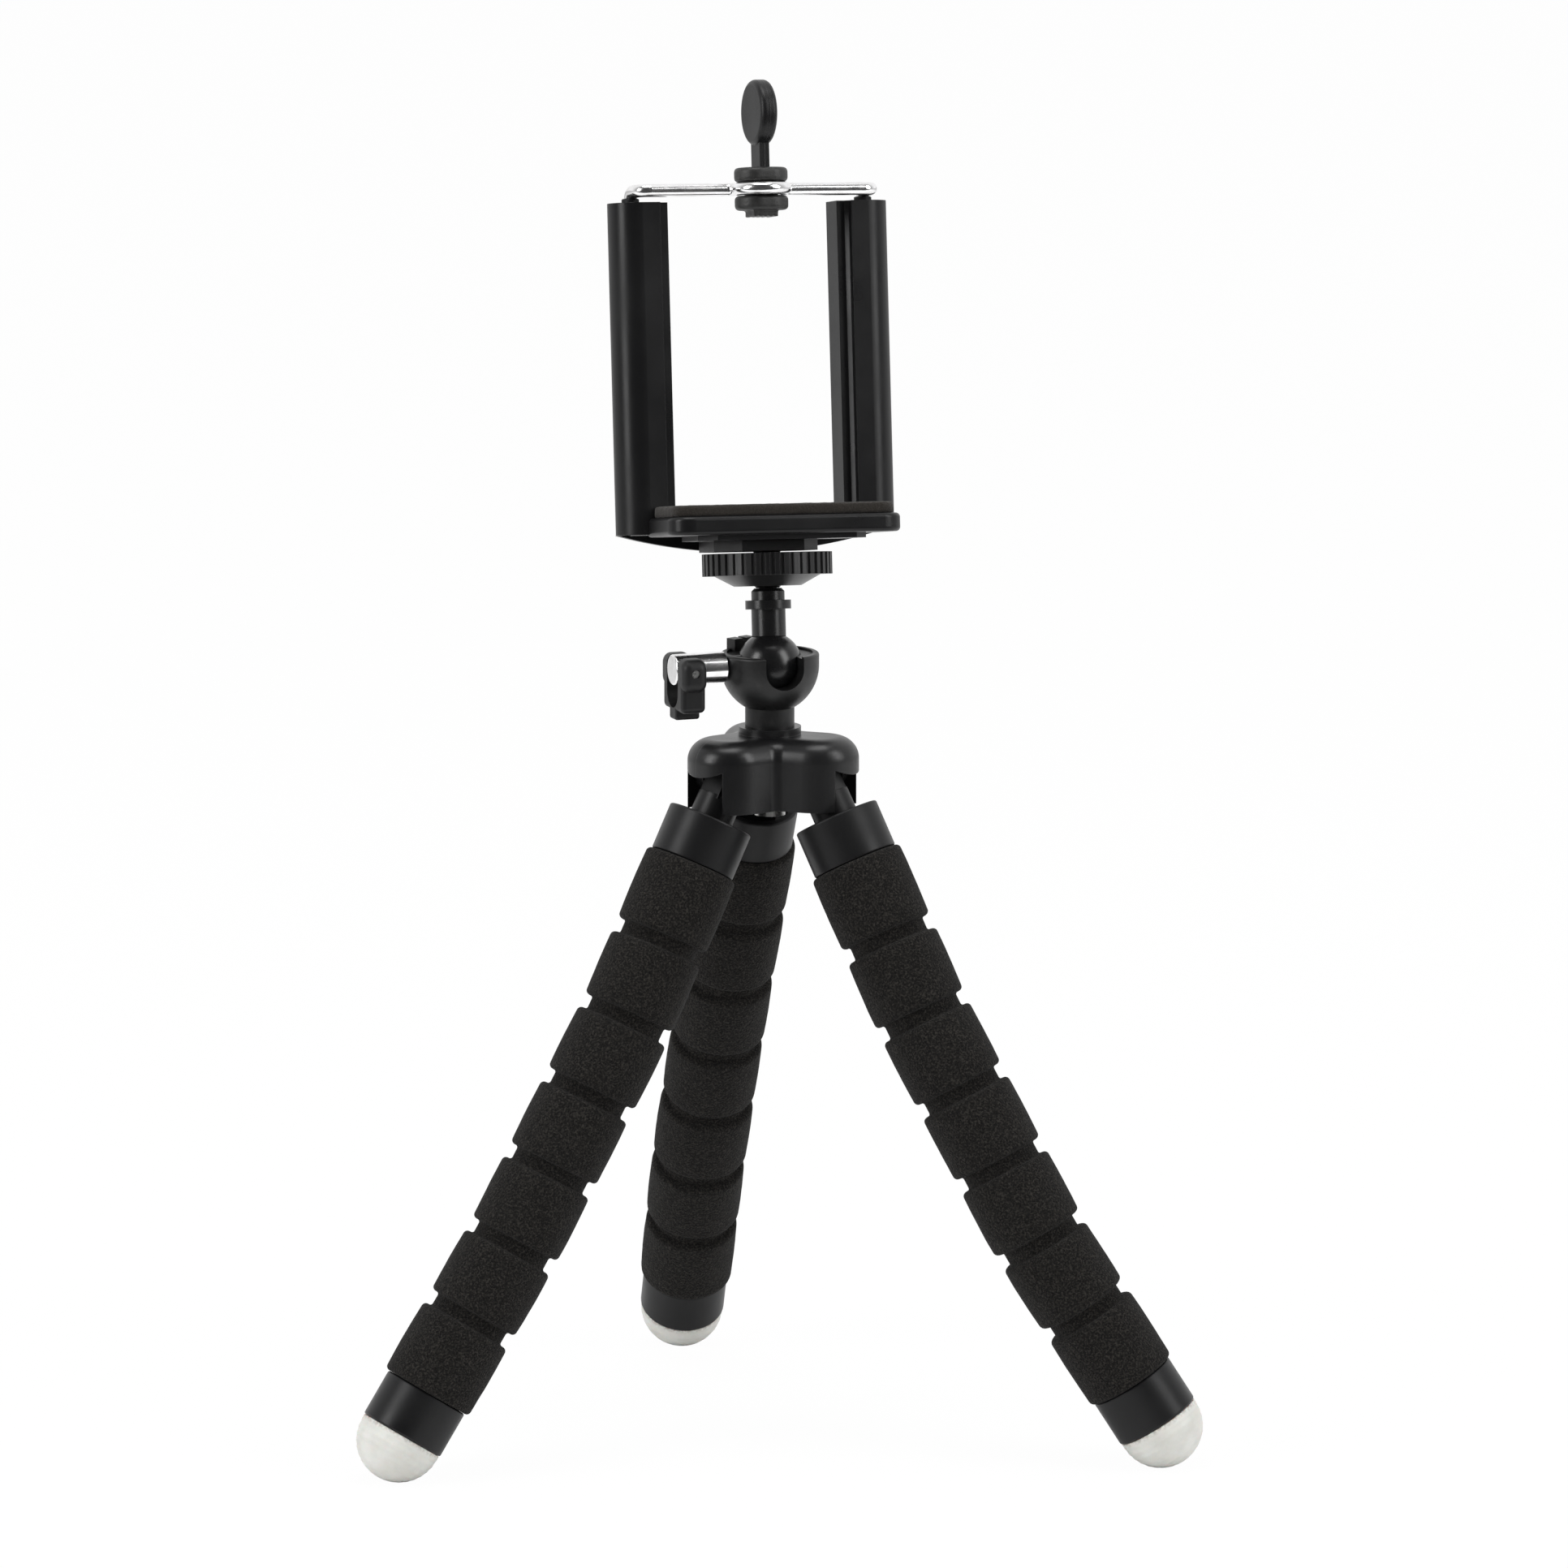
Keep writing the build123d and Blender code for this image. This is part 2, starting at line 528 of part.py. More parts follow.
def make_column(side):
    outline = column_outline()
    body = Pos(0, 0, COLUMN_FOOT) * extrude(outline, COLUMN_HEIGHT)
    radius = COLUMN_DEPTH / 2
    arc_centre = COLUMN_OUTER_WIDTH / 2 - radius
    room = Pos(arc_centre, COLUMN_BACK) * Circle(radius - COLUMN_WALL)
    room_flat = Rectangle(COLUMN_FLAT - COLUMN_WALL, COLUMN_DEPTH - 2 * COLUMN_WALL)
    room = room + Pos(arc_centre - (COLUMN_FLAT - COLUMN_WALL) / 2, COLUMN_BACK) * room_flat
    room_height = COLUMN_HEIGHT + OVERRUN - COLUMN_TOP_WALL
    body = body - Pos(0, 0, COLUMN_FOOT - OVERRUN) * extrude(room, room_height)
    hole_foot = COLUMN_TOP - COLUMN_TOP_WALL - OVERRUN
    hole = upright(WIRE_DIAMETER / 2 + RUNNING_GAP, hole_foot, COLUMN_TOP + OVERRUN)
    body = body - Pos(WIRE_SPACING / 2, COLUMN_BACK, 0) * hole
    return body if side > 0 else mirror(body, Plane.YZ)


def both_columns(grow, low, high):
    column = Pos(0, 0, low) * extrude(column_outline(grow), high - low)
    return column + mirror(column, Plane.YZ)


def tray_outline(margin):
    depth = TRAY_FRONT + TRAY_BACK - 2 * margin
    sheet = RectangleRounded(TRAY_WIDTH - 2 * margin, depth, TRAY_CORNER - margin / 2)
    return Pos(0, (TRAY_BACK - TRAY_FRONT) / 2) * sheet


def make_holder_base():
    plate = Pos(0, 0, TRAY_FOOT) * extrude(tray_outline(0), TRAY_THICKNESS)
    rims = plate.faces().filter_by(Axis.Z)
    plate = fillet(rims.edges(), TRAY_EDGE_ROUND)
    boss = Pos(BOSS_SHIFT, 0) * Rectangle(BOSS_WIDTH, BOSS_DEPTH)
    boss = chamfer(boss.vertices(), BOSS_CORNER)
    base = plate + Pos(0, 0, BOSS_FOOT) * extrude(boss, BOSS_HEIGHT + TRAY_STEP_HEIGHT + OVERRUN)
    step_depth = TRAY_FRONT + TRAY_BACK - 2 * TRAY_STEP_INSET
    step = Rectangle(TRAY_WIDTH - 2 * TRAY_STEP_SIDE_INSET, step_depth)
    step = Pos(0, (TRAY_BACK - TRAY_FRONT) / 2) * chamfer(step.vertices(), TRAY_STEP_CORNER)
    base = base + Pos(0, 0, TRAY_STEP_FOOT) * extrude(step, TRAY_STEP_HEIGHT + OVERRUN)
    back_depth = COLUMN_BACK + COLUMN_DEPTH / 2
    half = (COLUMN_OUTER_WIDTH - COLUMN_DEPTH) / 2 - COLUMN_FLAT
    base = base + block(-half, half, 0, back_depth, TRAY_FOOT, TRAY_TOP)
    bow_half = COLUMN_OUTER_WIDTH / 2 - APRON_SIDE_INSET
    bow_end = (bow_half, COLUMN_FOOT)
    bow_start = (-bow_half, COLUMN_FOOT)
    bow = make_face([
        Line(bow_start, bow_end),
        ThreePointArc(bow_end, (0, TRAY_FOOT - APRON_DROP), bow_start),
    ])
    apron = Pos(0, back_depth, 0) * extrude(Plane.XZ * bow, APRON_THICKNESS)
    base = base + apron
    base = base - both_columns(SEAT_GAP, COLUMN_FOOT - SEAT_GAP, TRAY_TOP + OVERRUN)
    insert_top = BOSS_FOOT + INSERT_LENGTH + SEAT_GAP
    base = base - upright(INSERT_DIAMETER / 2 + SEAT_GAP, BOSS_FOOT - OVERRUN, insert_top)
    stud_top = STEM_TOP + STUD_LENGTH
    return base - upright(STUD_DIAMETER / 2 + RUNNING_GAP, BOSS_FOOT - OVERRUN, stud_top + SEAT_GAP)


def make_insert():
    ring = upright(INSERT_DIAMETER / 2, BOSS_FOOT, BOSS_FOOT + INSERT_LENGTH)
    return ring - upright(STUD_DIAMETER / 2 + RUNNING_GAP, BOSS_FOOT - OVERRUN, TRAY_TOP)


def make_foam_pad():
    pad = Pos(0, 0, TRAY_TOP + SEAT_GAP) * extrude(tray_outline(PAD_MARGIN), PAD_THICKNESS)
    top_rim = pad.faces().sort_by(Axis.Z)[-1]
    pad = fillet(top_rim.edges(), PAD_EDGE_ROUND)
    return pad - both_columns(SOFT_GAP, TRAY_TOP, TRAY_TOP + PAD_THICKNESS + OVERRUN)


# Sprung bail

def wire_half(side):
    """One half of the bail's path, from the front of its loop down to the wire's end."""
    loop = WIRE_LOOP_WIDTH / 2
    leg = WIRE_SPACING / 2
    loop_front = BAR_BACK - WIRE_LOOP_DEPTH
    points = [
        (0, loop_front, WIRE_TOP),
        (side * loop, loop_front, WIRE_TOP),
        (side * loop, BAR_BACK, WIRE_TOP),
        (side * leg, BAR_BACK, WIRE_TOP),
        (side * leg, COLUMN_BACK, WIRE_TOP),
        (side * leg, COLUMN_BACK, WIRE_END),
    ]
    radii = [0, loop - WIRE_LOOP_STRAIGHT, WIRE_BEND, WIRE_BEND, WIRE_BEND, 0]
    return points, radii


def make_wire_bail():
    halves = []
    for side in (-1, 1):
        points, radii = wire_half(side)
        path = FilletPolyline(*points, radius=radii[1:-1])
        start = Plane(origin=points[0], z_dir=(side, 0, 0))
        halves.append(sweep(start * Circle(WIRE_DIAMETER / 2), path=path))
    return halves[0] + halves[1]


def biarc(start, end, start_way, end_way):
    """Two arcs that join two points and their directions smoothly."""
    across = end - start
    total = start_way + end_way
    spread = 2 * (1 - start_way.dot(end_way))
    reach = math.sqrt(across.dot(total) ** 2 + spread * across.dot(across))
    handle = (reach - across.dot(total)) / spread
    first = start + start_way * handle
    second = end - end_way * handle
    middle = (first + second) * 0.5
    middle_way = (second - first).normalized()
    return [TangentArc(start, middle, tangent=start_way), TangentArc(middle, end, tangent=middle_way)]


def spring_path(length):
    """Helix of half turns, standing on the origin."""
    radius = SPRING_MEAN_DIAMETER / 2
    rise = length / SPRING_TURNS

    def place(turn):
        angle = 2 * math.pi * turn
        return Vector(radius * math.cos(angle), radius * math.sin(angle), rise * turn)

    def way(turn):
        angle = 2 * math.pi * turn
        around = 2 * math.pi * radius
        return Vector(-around * math.sin(angle), around * math.cos(angle), rise).normalized()

    arcs = []
    for half in range(2 * SPRING_TURNS):
        low = half / 2
        high = (half + 1) / 2
        arcs += biarc(place(low), place(high), way(low), way(high))
    return arcs, place(0), way(0)


def make_springs():
    foot = WIRE_END + WASHER_FROM_END + WASHER_THICKNESS + SEAT_GAP + SPRING_WIRE / 2
    head = COLUMN_TOP - COLUMN_TOP_WALL - 2 * SEAT_GAP - SPRING_WIRE / 2
    arcs, start, way = spring_path(head - foot)
    rise = (head - foot) / SPRING_TURNS
    print("spring gap between turns", round(rise - SPRING_WIRE, 2), "mm")
    coil = sweep(Plane(origin=start, z_dir=way) * Circle(SPRING_WIRE / 2), path=Wire(arcs))
    return [Pos(x, COLUMN_BACK, foot) * coil for x in wire_places()]


def make_washers():
    foot = WIRE_END + WASHER_FROM_END
    top = foot + WASHER_THICKNESS
    ring = upright(WASHER_DIAMETER / 2, foot, top)
    ring = ring - upright(WIRE_DIAMETER / 2 + SEAT_GAP, foot - OVERRUN, top + OVERRUN)
    left, right = [Pos(x, COLUMN_BACK, 0) * ring for x in wire_places()]
    return left + right


def make_grip_block():
    wire = WIRE_DIAMETER / 2 + SEAT_GAP
    pad = Pos(0, GRIP_BACK) * SlotOverall(GRIP_WIDTH, GRIP_DEPTH)
    upper = Pos(0, 0, WIRE_TOP + wire) * extrude(pad, GRIP_PAD_HEIGHT)
    upper = fillet(upper.faces().filter_by(Axis.Z).edges(), GRIP_PAD_ROUND)
    lower = Pos(0, 0, WIRE_TOP - wire - GRIP_PAD_HEIGHT) * extrude(pad, GRIP_PAD_HEIGHT)
    lower = fillet(lower.faces().filter_by(Axis.Z).edges(), GRIP_PAD_ROUND)
    waist_width = WIRE_LOOP_WIDTH / 2 - wire - SOFT_GAP
    waist = extrude(Circle(waist_width), 2 * wire + 2 * GRIP_OVERLAP)
    waist = Pos(0, GRIP_BACK, WIRE_TOP - wire - GRIP_OVERLAP) * waist
    nib_foot = WIRE_TOP - wire - GRIP_PAD_HEIGHT - GRIP_NIB_HEIGHT
    nib = block(-GRIP_NIB_WIDTH / 2, GRIP_NIB_WIDTH / 2, GRIP_BACK - GRIP_NIB_DEPTH / 2,
                GRIP_BACK + GRIP_NIB_DEPTH / 2, nib_foot, nib_foot + GRIP_NIB_HEIGHT + GRIP_OVERLAP)
    pitch = GRIP_NIB_WIDTH / GRIP_NIB_TEETH
    for tooth in range(1, GRIP_NIB_TEETH):
        x = -GRIP_NIB_WIDTH / 2 + tooth * pitch
        groove = Rot(90, 0, 0) * Cylinder(pitch / 4, 2 * GRIP_NIB_DEPTH)
        nib = nib - Pos(x, GRIP_BACK, nib_foot) * groove
    grip = upper + lower + waist + nib
    top = WIRE_TOP + wire + GRIP_PAD_HEIGHT
    half = TAB_BAR_THICKNESS / 2 + SEAT_GAP
    depth = TAB_BAR_DEPTH / 2 + SEAT_GAP
    tenon_foot = top - TAB_TENON - SEAT_GAP
    tenon_room = block(-half, half, GRIP_BACK - depth, GRIP_BACK + depth, tenon_foot, top + OVERRUN)
    return grip - tenon_room


def make_finger_tab():
    grip_top = WIRE_TOP + WIRE_DIAMETER / 2 + SEAT_GAP + GRIP_PAD_HEIGHT
    half = TAB_BAR_THICKNESS / 2
    bar = block(-half, half, GRIP_BACK - TAB_BAR_DEPTH / 2, GRIP_BACK + TAB_BAR_DEPTH / 2,
                grip_top - TAB_TENON, grip_top + TAB_BAR_HEIGHT + PADDLE_SUNK)
    disc = Rot(0, 90, 0) * Cylinder(PADDLE_DIAMETER / 2, PADDLE_THICKNESS)
    disc = fillet(disc.edges().filter_by(GeomType.CIRCLE), PADDLE_ROUND)
    return bar + Pos(0, GRIP_BACK, grip_top + TAB_BAR_HEIGHT + PADDLE_DIAMETER / 2) * disc


# Legs, each drawn along +Z from the start of its section, then laid along the leg

def bend_cut(pivot, way):
    """Cone-faced clearing at a bend, so that the foam can close on itself by the bend's range."""
    slope = math.tan(math.radians((BEND_RANGE + REST_KINK) / 2))
    reach = FOAM_DIAMETER
    points = [
        (0, -way * SOFT_GAP),
        (reach, -way * (SOFT_GAP + reach * slope)),
        (reach, way * reach),
        (0, way * reach),
    ]
    face = make_face(Polyline(*points, close=True))
    return Pos(0, 0, pivot) * revolve(Plane.XZ * face, Axis.Z)


def foam_run(start, end, first_groove, count, bends):
    """Ribbed sleeve between two places, with segments at an even pitch from the first groove."""
    sleeve = upright(FOAM_GROOVE_DIAMETER / 2, start, end)
    for index in range(count):
        low = first_groove + index * SEGMENT_PITCH
        high = low + SEGMENT_PITCH
        low = max(low + FOAM_GROOVE_WIDTH / 2, start)
        high = min(high - FOAM_GROOVE_WIDTH / 2, end)
        sleeve = sleeve + rounded_ends(FOAM_DIAMETER / 2, low, high, FOAM_CORNER)
    sleeve = sleeve - upright(CORE_DIAMETER / 2 + SOFT_GAP, start - OVERRUN, end + OVERRUN)
    for pivot, way in bends:
        cup_room = CORE_CUP_DIAMETER / 2 + SOFT_GAP
        length = CORE_CUP_LENGTH + SOFT_GAP
        low, high = sorted((pivot, pivot - way * length))
        sleeve = sleeve - upright(cup_room, low, high) - bend_cut(pivot, way)
    return sleeve


def core_run(start, end, ball_at=None, cup_at=None):
    """Length of bendable wire, with a round head at its upper end and a cup at its lower end."""
    body_start = start if ball_at is None else ball_at
    body_end = end if cup_at is None else cup_at - CORE_CUP_LENGTH + CORE_JOIN
    core = upright(CORE_DIAMETER / 2, body_start, body_end)
    if ball_at is not None:
        core = core + Pos(0, 0, ball_at) * Sphere(CORE_BALL_DIAMETER / 2)
    if cup_at is not None:
        cup = upright(CORE_CUP_DIAMETER / 2, cup_at - CORE_CUP_LENGTH, cup_at - CORE_CUP_LIP)
        core = core + cup - Pos(0, 0, cup_at) * Sphere(CORE_BALL_DIAMETER / 2 + RUNNING_GAP)
    return core


def make_neck(name):
    """Neck of one leg: a flat eye square to its hinge pin, and a round shank down the leg."""
    hinge = neck_plane(name).location
    leg = leg_planes(name)[0].location
    shank_start = COLLAR_START * NECK_SHANK_START
    eye = Rot(0, 90, 0) * Cylinder(EYE_DIAMETER / 2, EYE_WIDTH)
    half = EYE_WIDTH / 2
    link = block(-half, half, -EYE_DIAMETER / 2, EYE_DIAMETER / 2, 0, shank_start + OVERRUN)
    shank = upright(NECK_DIAMETER / 2, shank_start, COLLAR_END - COLLAR_FLOOR - SEAT_GAP)
    neck = hinge * (eye + link) + leg * shank
    pin_hole = Rot(0, 90, 0) * Cylinder(HINGE_PIN_DIAMETER / 2 + RUNNING_GAP, 2 * EYE_WIDTH)
    core_foot = COLLAR_START + CORE_START - 2 * SEAT_GAP
    core_hole = upright(CORE_DIAMETER / 2 + SEAT_GAP, core_foot, COLLAR_END)
    return neck - hinge * pin_hole - leg * core_hole


def make_top_collar():
    collar = rounded_ends(COLLAR_DIAMETER / 2, COLLAR_START, COLLAR_END, COLLAR_ROUND)
    recess_end = COLLAR_START + COLLAR_RECESS
    collar = collar - upright(COLLAR_DIAMETER / 2 - COLLAR_WALL, COLLAR_START - OVERRUN, recess_end)
    collar = collar - upright(NECK_DIAMETER / 2 + SEAT_GAP, COLLAR_START, COLLAR_END - COLLAR_FLOOR)
    return collar - upright(CORE_DIAMETER / 2 + SEAT_GAP, COLLAR_START, COLLAR_END + OVERRUN)


def make_foot_collar():
    collar = rounded_ends(FOOT_COLLAR_DIAMETER / 2, FOAM_END, FOOT_COLLAR_END, COLLAR_ROUND)
    core_room = upright(CORE_DIAMETER / 2 + SEAT_GAP, FOAM_END - OVERRUN, FOOT_COLLAR_END + OVERRUN)
    return collar - core_room


def make_foot():
    foot_start = FOOT_COLLAR_END + SEAT_GAP
    dome = Pos(0, 0, FOOT_CENTRE) * Sphere(FOOT_DIAMETER / 2)
    dome = dome & upright(FOOT_DIAMETER, FOOT_CENTRE, FOOT_CENTRE + FOOT_DIAMETER)
    foot = dome + upright(FOOT_DIAMETER / 2, foot_start, FOOT_CENTRE)
    return foot - upright(CORE_DIAMETER / 2 + SEAT_GAP, foot_start - OVERRUN, FOOT_CENTRE + FOOT_BORE)


def leg_way(tilt, azimuth):
    """Direction down a leg section."""
    lean = math.radians(tilt)
    turn = math.radians(azimuth)
    return Vector(math.sin(lean) * math.cos(turn), math.sin(lean) * math.sin(turn), -math.cos(lean))


def leg_planes(name):
    """Planes of a leg's three sections: each starts at its pivot and has its Z along the leg."""
    azimuth = math.radians(lobe_azimuths()[name])
    pivot = Vector(HINGE_RADIUS * math.cos(azimuth), HINGE_RADIUS * math.sin(azimuth), HINGE_Z)
    planes = []
    for length, tilt, turn in zip(SECTION_LENGTHS, SECTION_TILTS, SECTION_AZIMUTHS[name]):
        across = Vector(-math.sin(math.radians(turn)), math.cos(math.radians(turn)), 0)
        way = leg_way(tilt, turn)
        planes.append(Plane(origin=pivot, x_dir=across, z_dir=way))
        pivot = pivot + way * length
    return planes


def neck_plane(name):
    """Plane of the neck: square to its hinge pin, leaning as the upper section does."""
    azimuth = lobe_azimuths()[name]
    turn = math.radians(azimuth)
    across = Vector(-math.sin(turn), math.cos(turn), 0)
    pivot = Vector(HINGE_RADIUS * math.cos(turn), HINGE_RADIUS * math.sin(turn), HINGE_Z)
    return Plane(origin=pivot, x_dir=across, z_dir=leg_way(SECTION_TILTS[0], azimuth))


def make_leg(name, drawn):
    upper, middle, lower = leg_planes(name)
    reach = 2 * HINGE_Z
    ground_cut = block(-reach, reach, -reach, reach, -FOOT_DIAMETER, 0)
    placed = {}
    for piece, (shape, section) in drawn.items():
        plane = {"upper": upper, "middle": middle, "lower": lower}[section]
        placed[f"{piece}_{name}"] = plane.location * shape
    placed[f"foot_{name}"] = placed[f"foot_{name}"] - ground_cut
    placed[f"neck_{name}"] = make_neck(name)
    return placed


def draw_leg_pieces():
    """Pieces of one leg, each with the section that it belongs to."""
    first = BEND_ONE
    second = BEND_TWO
    low_end = FOAM_END - second
    shift = Pos(0, 0, -second)
    core_tail = FOOT_CENTRE - second + CORE_IN_FOOT
    upper_start = COLLAR_END + SEAT_GAP
    upper_foam = foam_run(upper_start, first, COLLAR_END, SEGMENTS[0], [(first, 1)])
    middle_foam = foam_run(0, second - first, 0, SEGMENTS[1], [(0, -1), (second - first, 1)])
    return {
        "top_collar": (make_top_collar(), "upper"),
        "foam_upper": (upper_foam, "upper"),
        "foam_middle": (middle_foam, "middle"),
        "foam_lower": (foam_run(0, low_end - SEAT_GAP, 0, SEGMENTS[2], [(0, -1)]), "lower"),
        "core_upper": (core_run(COLLAR_START + CORE_START, first, cup_at=first), "upper"),
        "core_middle": (core_run(0, second - first, ball_at=0, cup_at=second - first), "middle"),
        "core_lower": (core_run(0, core_tail, ball_at=0), "lower"),
        "foot_collar": (shift * make_foot_collar(), "lower"),
        "foot": (shift * make_foot(), "lower"),
    }


def clamp_place():
    """Place of the cup and its clamp, turned a little to one side on the hub."""
    return Rot(0, 0, HEAD_YAW)


def head_place():
    """Place of the head in its cup: laid back and leaning a little to one side."""
    lean = Rot(0, HEAD_SIDE_LEAN, 0) * Rot(-HEAD_LAID_BACK, 0, 0)
    return clamp_place() * Pos(0, 0, BALL_Z) * lean * Pos(0, 0, -BALL_Z)


def make_parts():
    clamp = {
        "ball_socket": make_ball_socket(),
        "clamp_barrel": make_clamp_barrel(),
        "clamp_screw": make_clamp_screw(),
        "clamp_pad": make_clamp_pad(),
        "clamp_knob": make_clamp_knob(),
        "knob_pin": make_knob_pin(),
    }
    head = {
        "ball": make_ball(),
        "stem": make_stem(),
        "thread_stud": make_stud(),
        "locking_wheel": make_wheel(),
        "holder_base": make_holder_base(),
        "foam_pad": make_foam_pad(),
        "threaded_insert": make_insert(),
        "column_left": make_column(-1),
        "column_right": make_column(1),
        "wire_bail": make_wire_bail(),
        "wire_end_washers": make_washers(),
        "grip_block": make_grip_block(),
        "finger_tab": make_finger_tab(),
    }
    head["spring_left"], head["spring_right"] = make_springs()
    parts = {name: clamp_place() * shape for name, shape in clamp.items()}
    parts.update({name: head_place() * shape for name, shape in head.items()})
    parts["hub_shell"] = make_hub()
    parts["hub_hinge_pins"] = make_hinge_pins()
    parts["socket_screw"] = make_socket_screw()
    drawn = draw_leg_pieces()
    for name in lobe_azimuths():
        parts.update(make_leg(name, drawn))
    return parts


def centre_of(parts):
    """Middle of the whole object's footprint."""
    boxes = [shape.bounding_box() for shape in parts.values()]
    x = (min(box.min.X for box in boxes) + max(box.max.X for box in boxes)) / 2
    y = (min(box.min.Y for box in boxes) + max(box.max.Y for box in boxes)) / 2
    return x, y


os.makedirs("parts", exist_ok=True)
PARTS = make_parts()
CENTRE_X, CENTRE_Y = centre_of(PARTS)
for node, solid in PARTS.items():
    export_step(Pos(-CENTRE_X, -CENTRE_Y, 0) * solid, f"parts/{node}.step")
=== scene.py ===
import json
import math
import random

import bmesh
import bpy
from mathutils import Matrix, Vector, noise


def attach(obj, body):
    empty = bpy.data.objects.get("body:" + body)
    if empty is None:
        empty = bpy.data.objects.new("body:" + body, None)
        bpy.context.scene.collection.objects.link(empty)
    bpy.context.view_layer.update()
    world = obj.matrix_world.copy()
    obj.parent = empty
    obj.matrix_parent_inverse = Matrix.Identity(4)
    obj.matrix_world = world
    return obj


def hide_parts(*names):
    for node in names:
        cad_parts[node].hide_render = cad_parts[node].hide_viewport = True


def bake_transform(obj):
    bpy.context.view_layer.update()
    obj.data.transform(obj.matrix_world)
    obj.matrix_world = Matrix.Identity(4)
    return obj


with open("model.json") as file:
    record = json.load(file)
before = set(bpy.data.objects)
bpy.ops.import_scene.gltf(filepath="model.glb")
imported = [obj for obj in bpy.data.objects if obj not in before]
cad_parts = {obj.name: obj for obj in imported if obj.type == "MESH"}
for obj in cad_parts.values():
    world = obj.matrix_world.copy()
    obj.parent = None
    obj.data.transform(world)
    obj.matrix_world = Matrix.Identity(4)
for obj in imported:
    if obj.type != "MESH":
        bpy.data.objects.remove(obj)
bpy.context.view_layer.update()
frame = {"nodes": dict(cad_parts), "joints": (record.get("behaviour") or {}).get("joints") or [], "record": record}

# Camera
# A long lens stands a good two metres off and looks down a little at the hub.
# It is aimed a few millimetres to the right of the hub, which puts the whole tripod in the frame.
CAMERA_DISTANCE = 2.3
CAMERA_RISE = math.radians(10.0)
CAMERA_LENS = 234.6
AIM_HEIGHT = 0.1503
AIM_RIGHT = 0.0032
joints = {joint["name"]: joint for joint in frame["joints"]}
hub_axis = Vector(joints["ball_tilt"]["pos_m"])
camera_data = bpy.data.cameras.new("camera")
camera_data.lens = CAMERA_LENS
camera = bpy.data.objects.new("camera", camera_data)
bpy.context.scene.collection.objects.link(camera)
aim = Vector((hub_axis.x + AIM_RIGHT, hub_axis.y, AIM_HEIGHT))
back_off = Vector((0, -math.cos(CAMERA_RISE), math.sin(CAMERA_RISE)))
camera.location = aim + CAMERA_DISTANCE * back_off
camera.rotation_euler = (math.pi / 2 - CAMERA_RISE, 0, 0)
bpy.context.scene.camera = camera

# Hub
# The three-lobed cap is injection moulded in black plastic with a satin skin.
# Three steel pins cross its lobes, and one screw from below holds the ball socket.
LEGS = ("back", "left", "right")
PLASTIC_BLACK = (0.0052, 0.0052, 0.0056, 1)
PLASTIC_DUSTY = (0.0090, 0.0088, 0.0086, 1)
PLASTIC_POLISH = 0.28
PLASTIC_WORN = 0.38
PLASTIC_SHINE = 0.42
PLASTIC_FLOW = 45
PLASTIC_DUST = 1500
PLASTIC_GRAIN = 3200
PLASTIC_GRAIN_DEPTH = 0.000004
PLASTIC_EDGE = 0.00022
SEAM_HALF_WIDTH = 0.00013
SEAM_HEIGHT = 0.00003
SEAM_START = 0.0075
METAL_CLOUD = 400
METAL_GRAIN = 3000
METAL_GRAIN_DEPTH = 0.000004
STEEL_BRIGHT = (0.50, 0.50, 0.49, 1)
STEEL_DULL = (0.34, 0.34, 0.33, 1)
MIX_COLOUR_INPUTS = (6, 7)
MIX_COLOUR_OUTPUT = 2


def node(tree, kind, **values):
    """One shader node, with its plain settings and its sockets' values."""
    made = tree.nodes.new(kind)
    for name, value in values.items():
        if name in made.inputs:
            made.inputs[name].default_value = value
        else:
            setattr(made, name, value)
    return made


def blotches(tree, where, size, detail, low, high):
    """Noise at a size, spread to run from 0 at low to 1 at high."""
    cloud = node(tree, "ShaderNodeTexNoise", Scale=size, Detail=detail, Roughness=0.6)
    tree.links.new(where, cloud.inputs["Vector"])
    spread = node(tree, "ShaderNodeMapRange")
    spread.inputs["From Min"].default_value = low
    spread.inputs["From Max"].default_value = high
    tree.links.new(cloud.outputs["Fac"], spread.inputs["Value"])
    return spread.outputs["Result"]


def mix_colours(tree, share, first, second):
    """Colour that runs from the first to the second as the share goes from 0 to 1."""
    mixer = node(tree, "ShaderNodeMix", data_type="RGBA")
    tree.links.new(share, mixer.inputs["Factor"])
    for index, colour in zip(MIX_COLOUR_INPUTS, (first, second)):
        if isinstance(colour, tuple):
            mixer.inputs[index].default_value = colour
        else:
            tree.links.new(colour, mixer.inputs[index])
    return mixer.outputs[MIX_COLOUR_OUTPUT]


def between(tree, share, low, high):
    """Number that runs from low to high as the share goes from 0 to 1."""
    spread = node(tree, "ShaderNodeMapRange")
    spread.inputs["To Min"].default_value = low
    spread.inputs["To Max"].default_value = high
    tree.links.new(share, spread.inputs["Value"])
    return spread.outputs["Result"]


def new_finish(name):
    """Empty material with its shader and the point where each texture is read."""
    finish = bpy.data.materials.new(name)
    finish.use_nodes = True
    tree = finish.node_tree
    where = node(tree, "ShaderNodeTexCoord").outputs["Object"]
    return finish, tree, tree.nodes["Principled BSDF"], where


def grain(tree, shader, height, depth, under=None):
    """Bump of a depth in metres on the shader, over an earlier one where there is one."""
    bump = node(tree, "ShaderNodeBump", Distance=depth)
    tree.links.new(height, bump.inputs["Height"])
    if under is not None:
        tree.links.new(under, bump.inputs["Normal"])
    tree.links.new(bump.outputs["Normal"], shader.inputs["Normal"])
    return bump.outputs["Normal"]


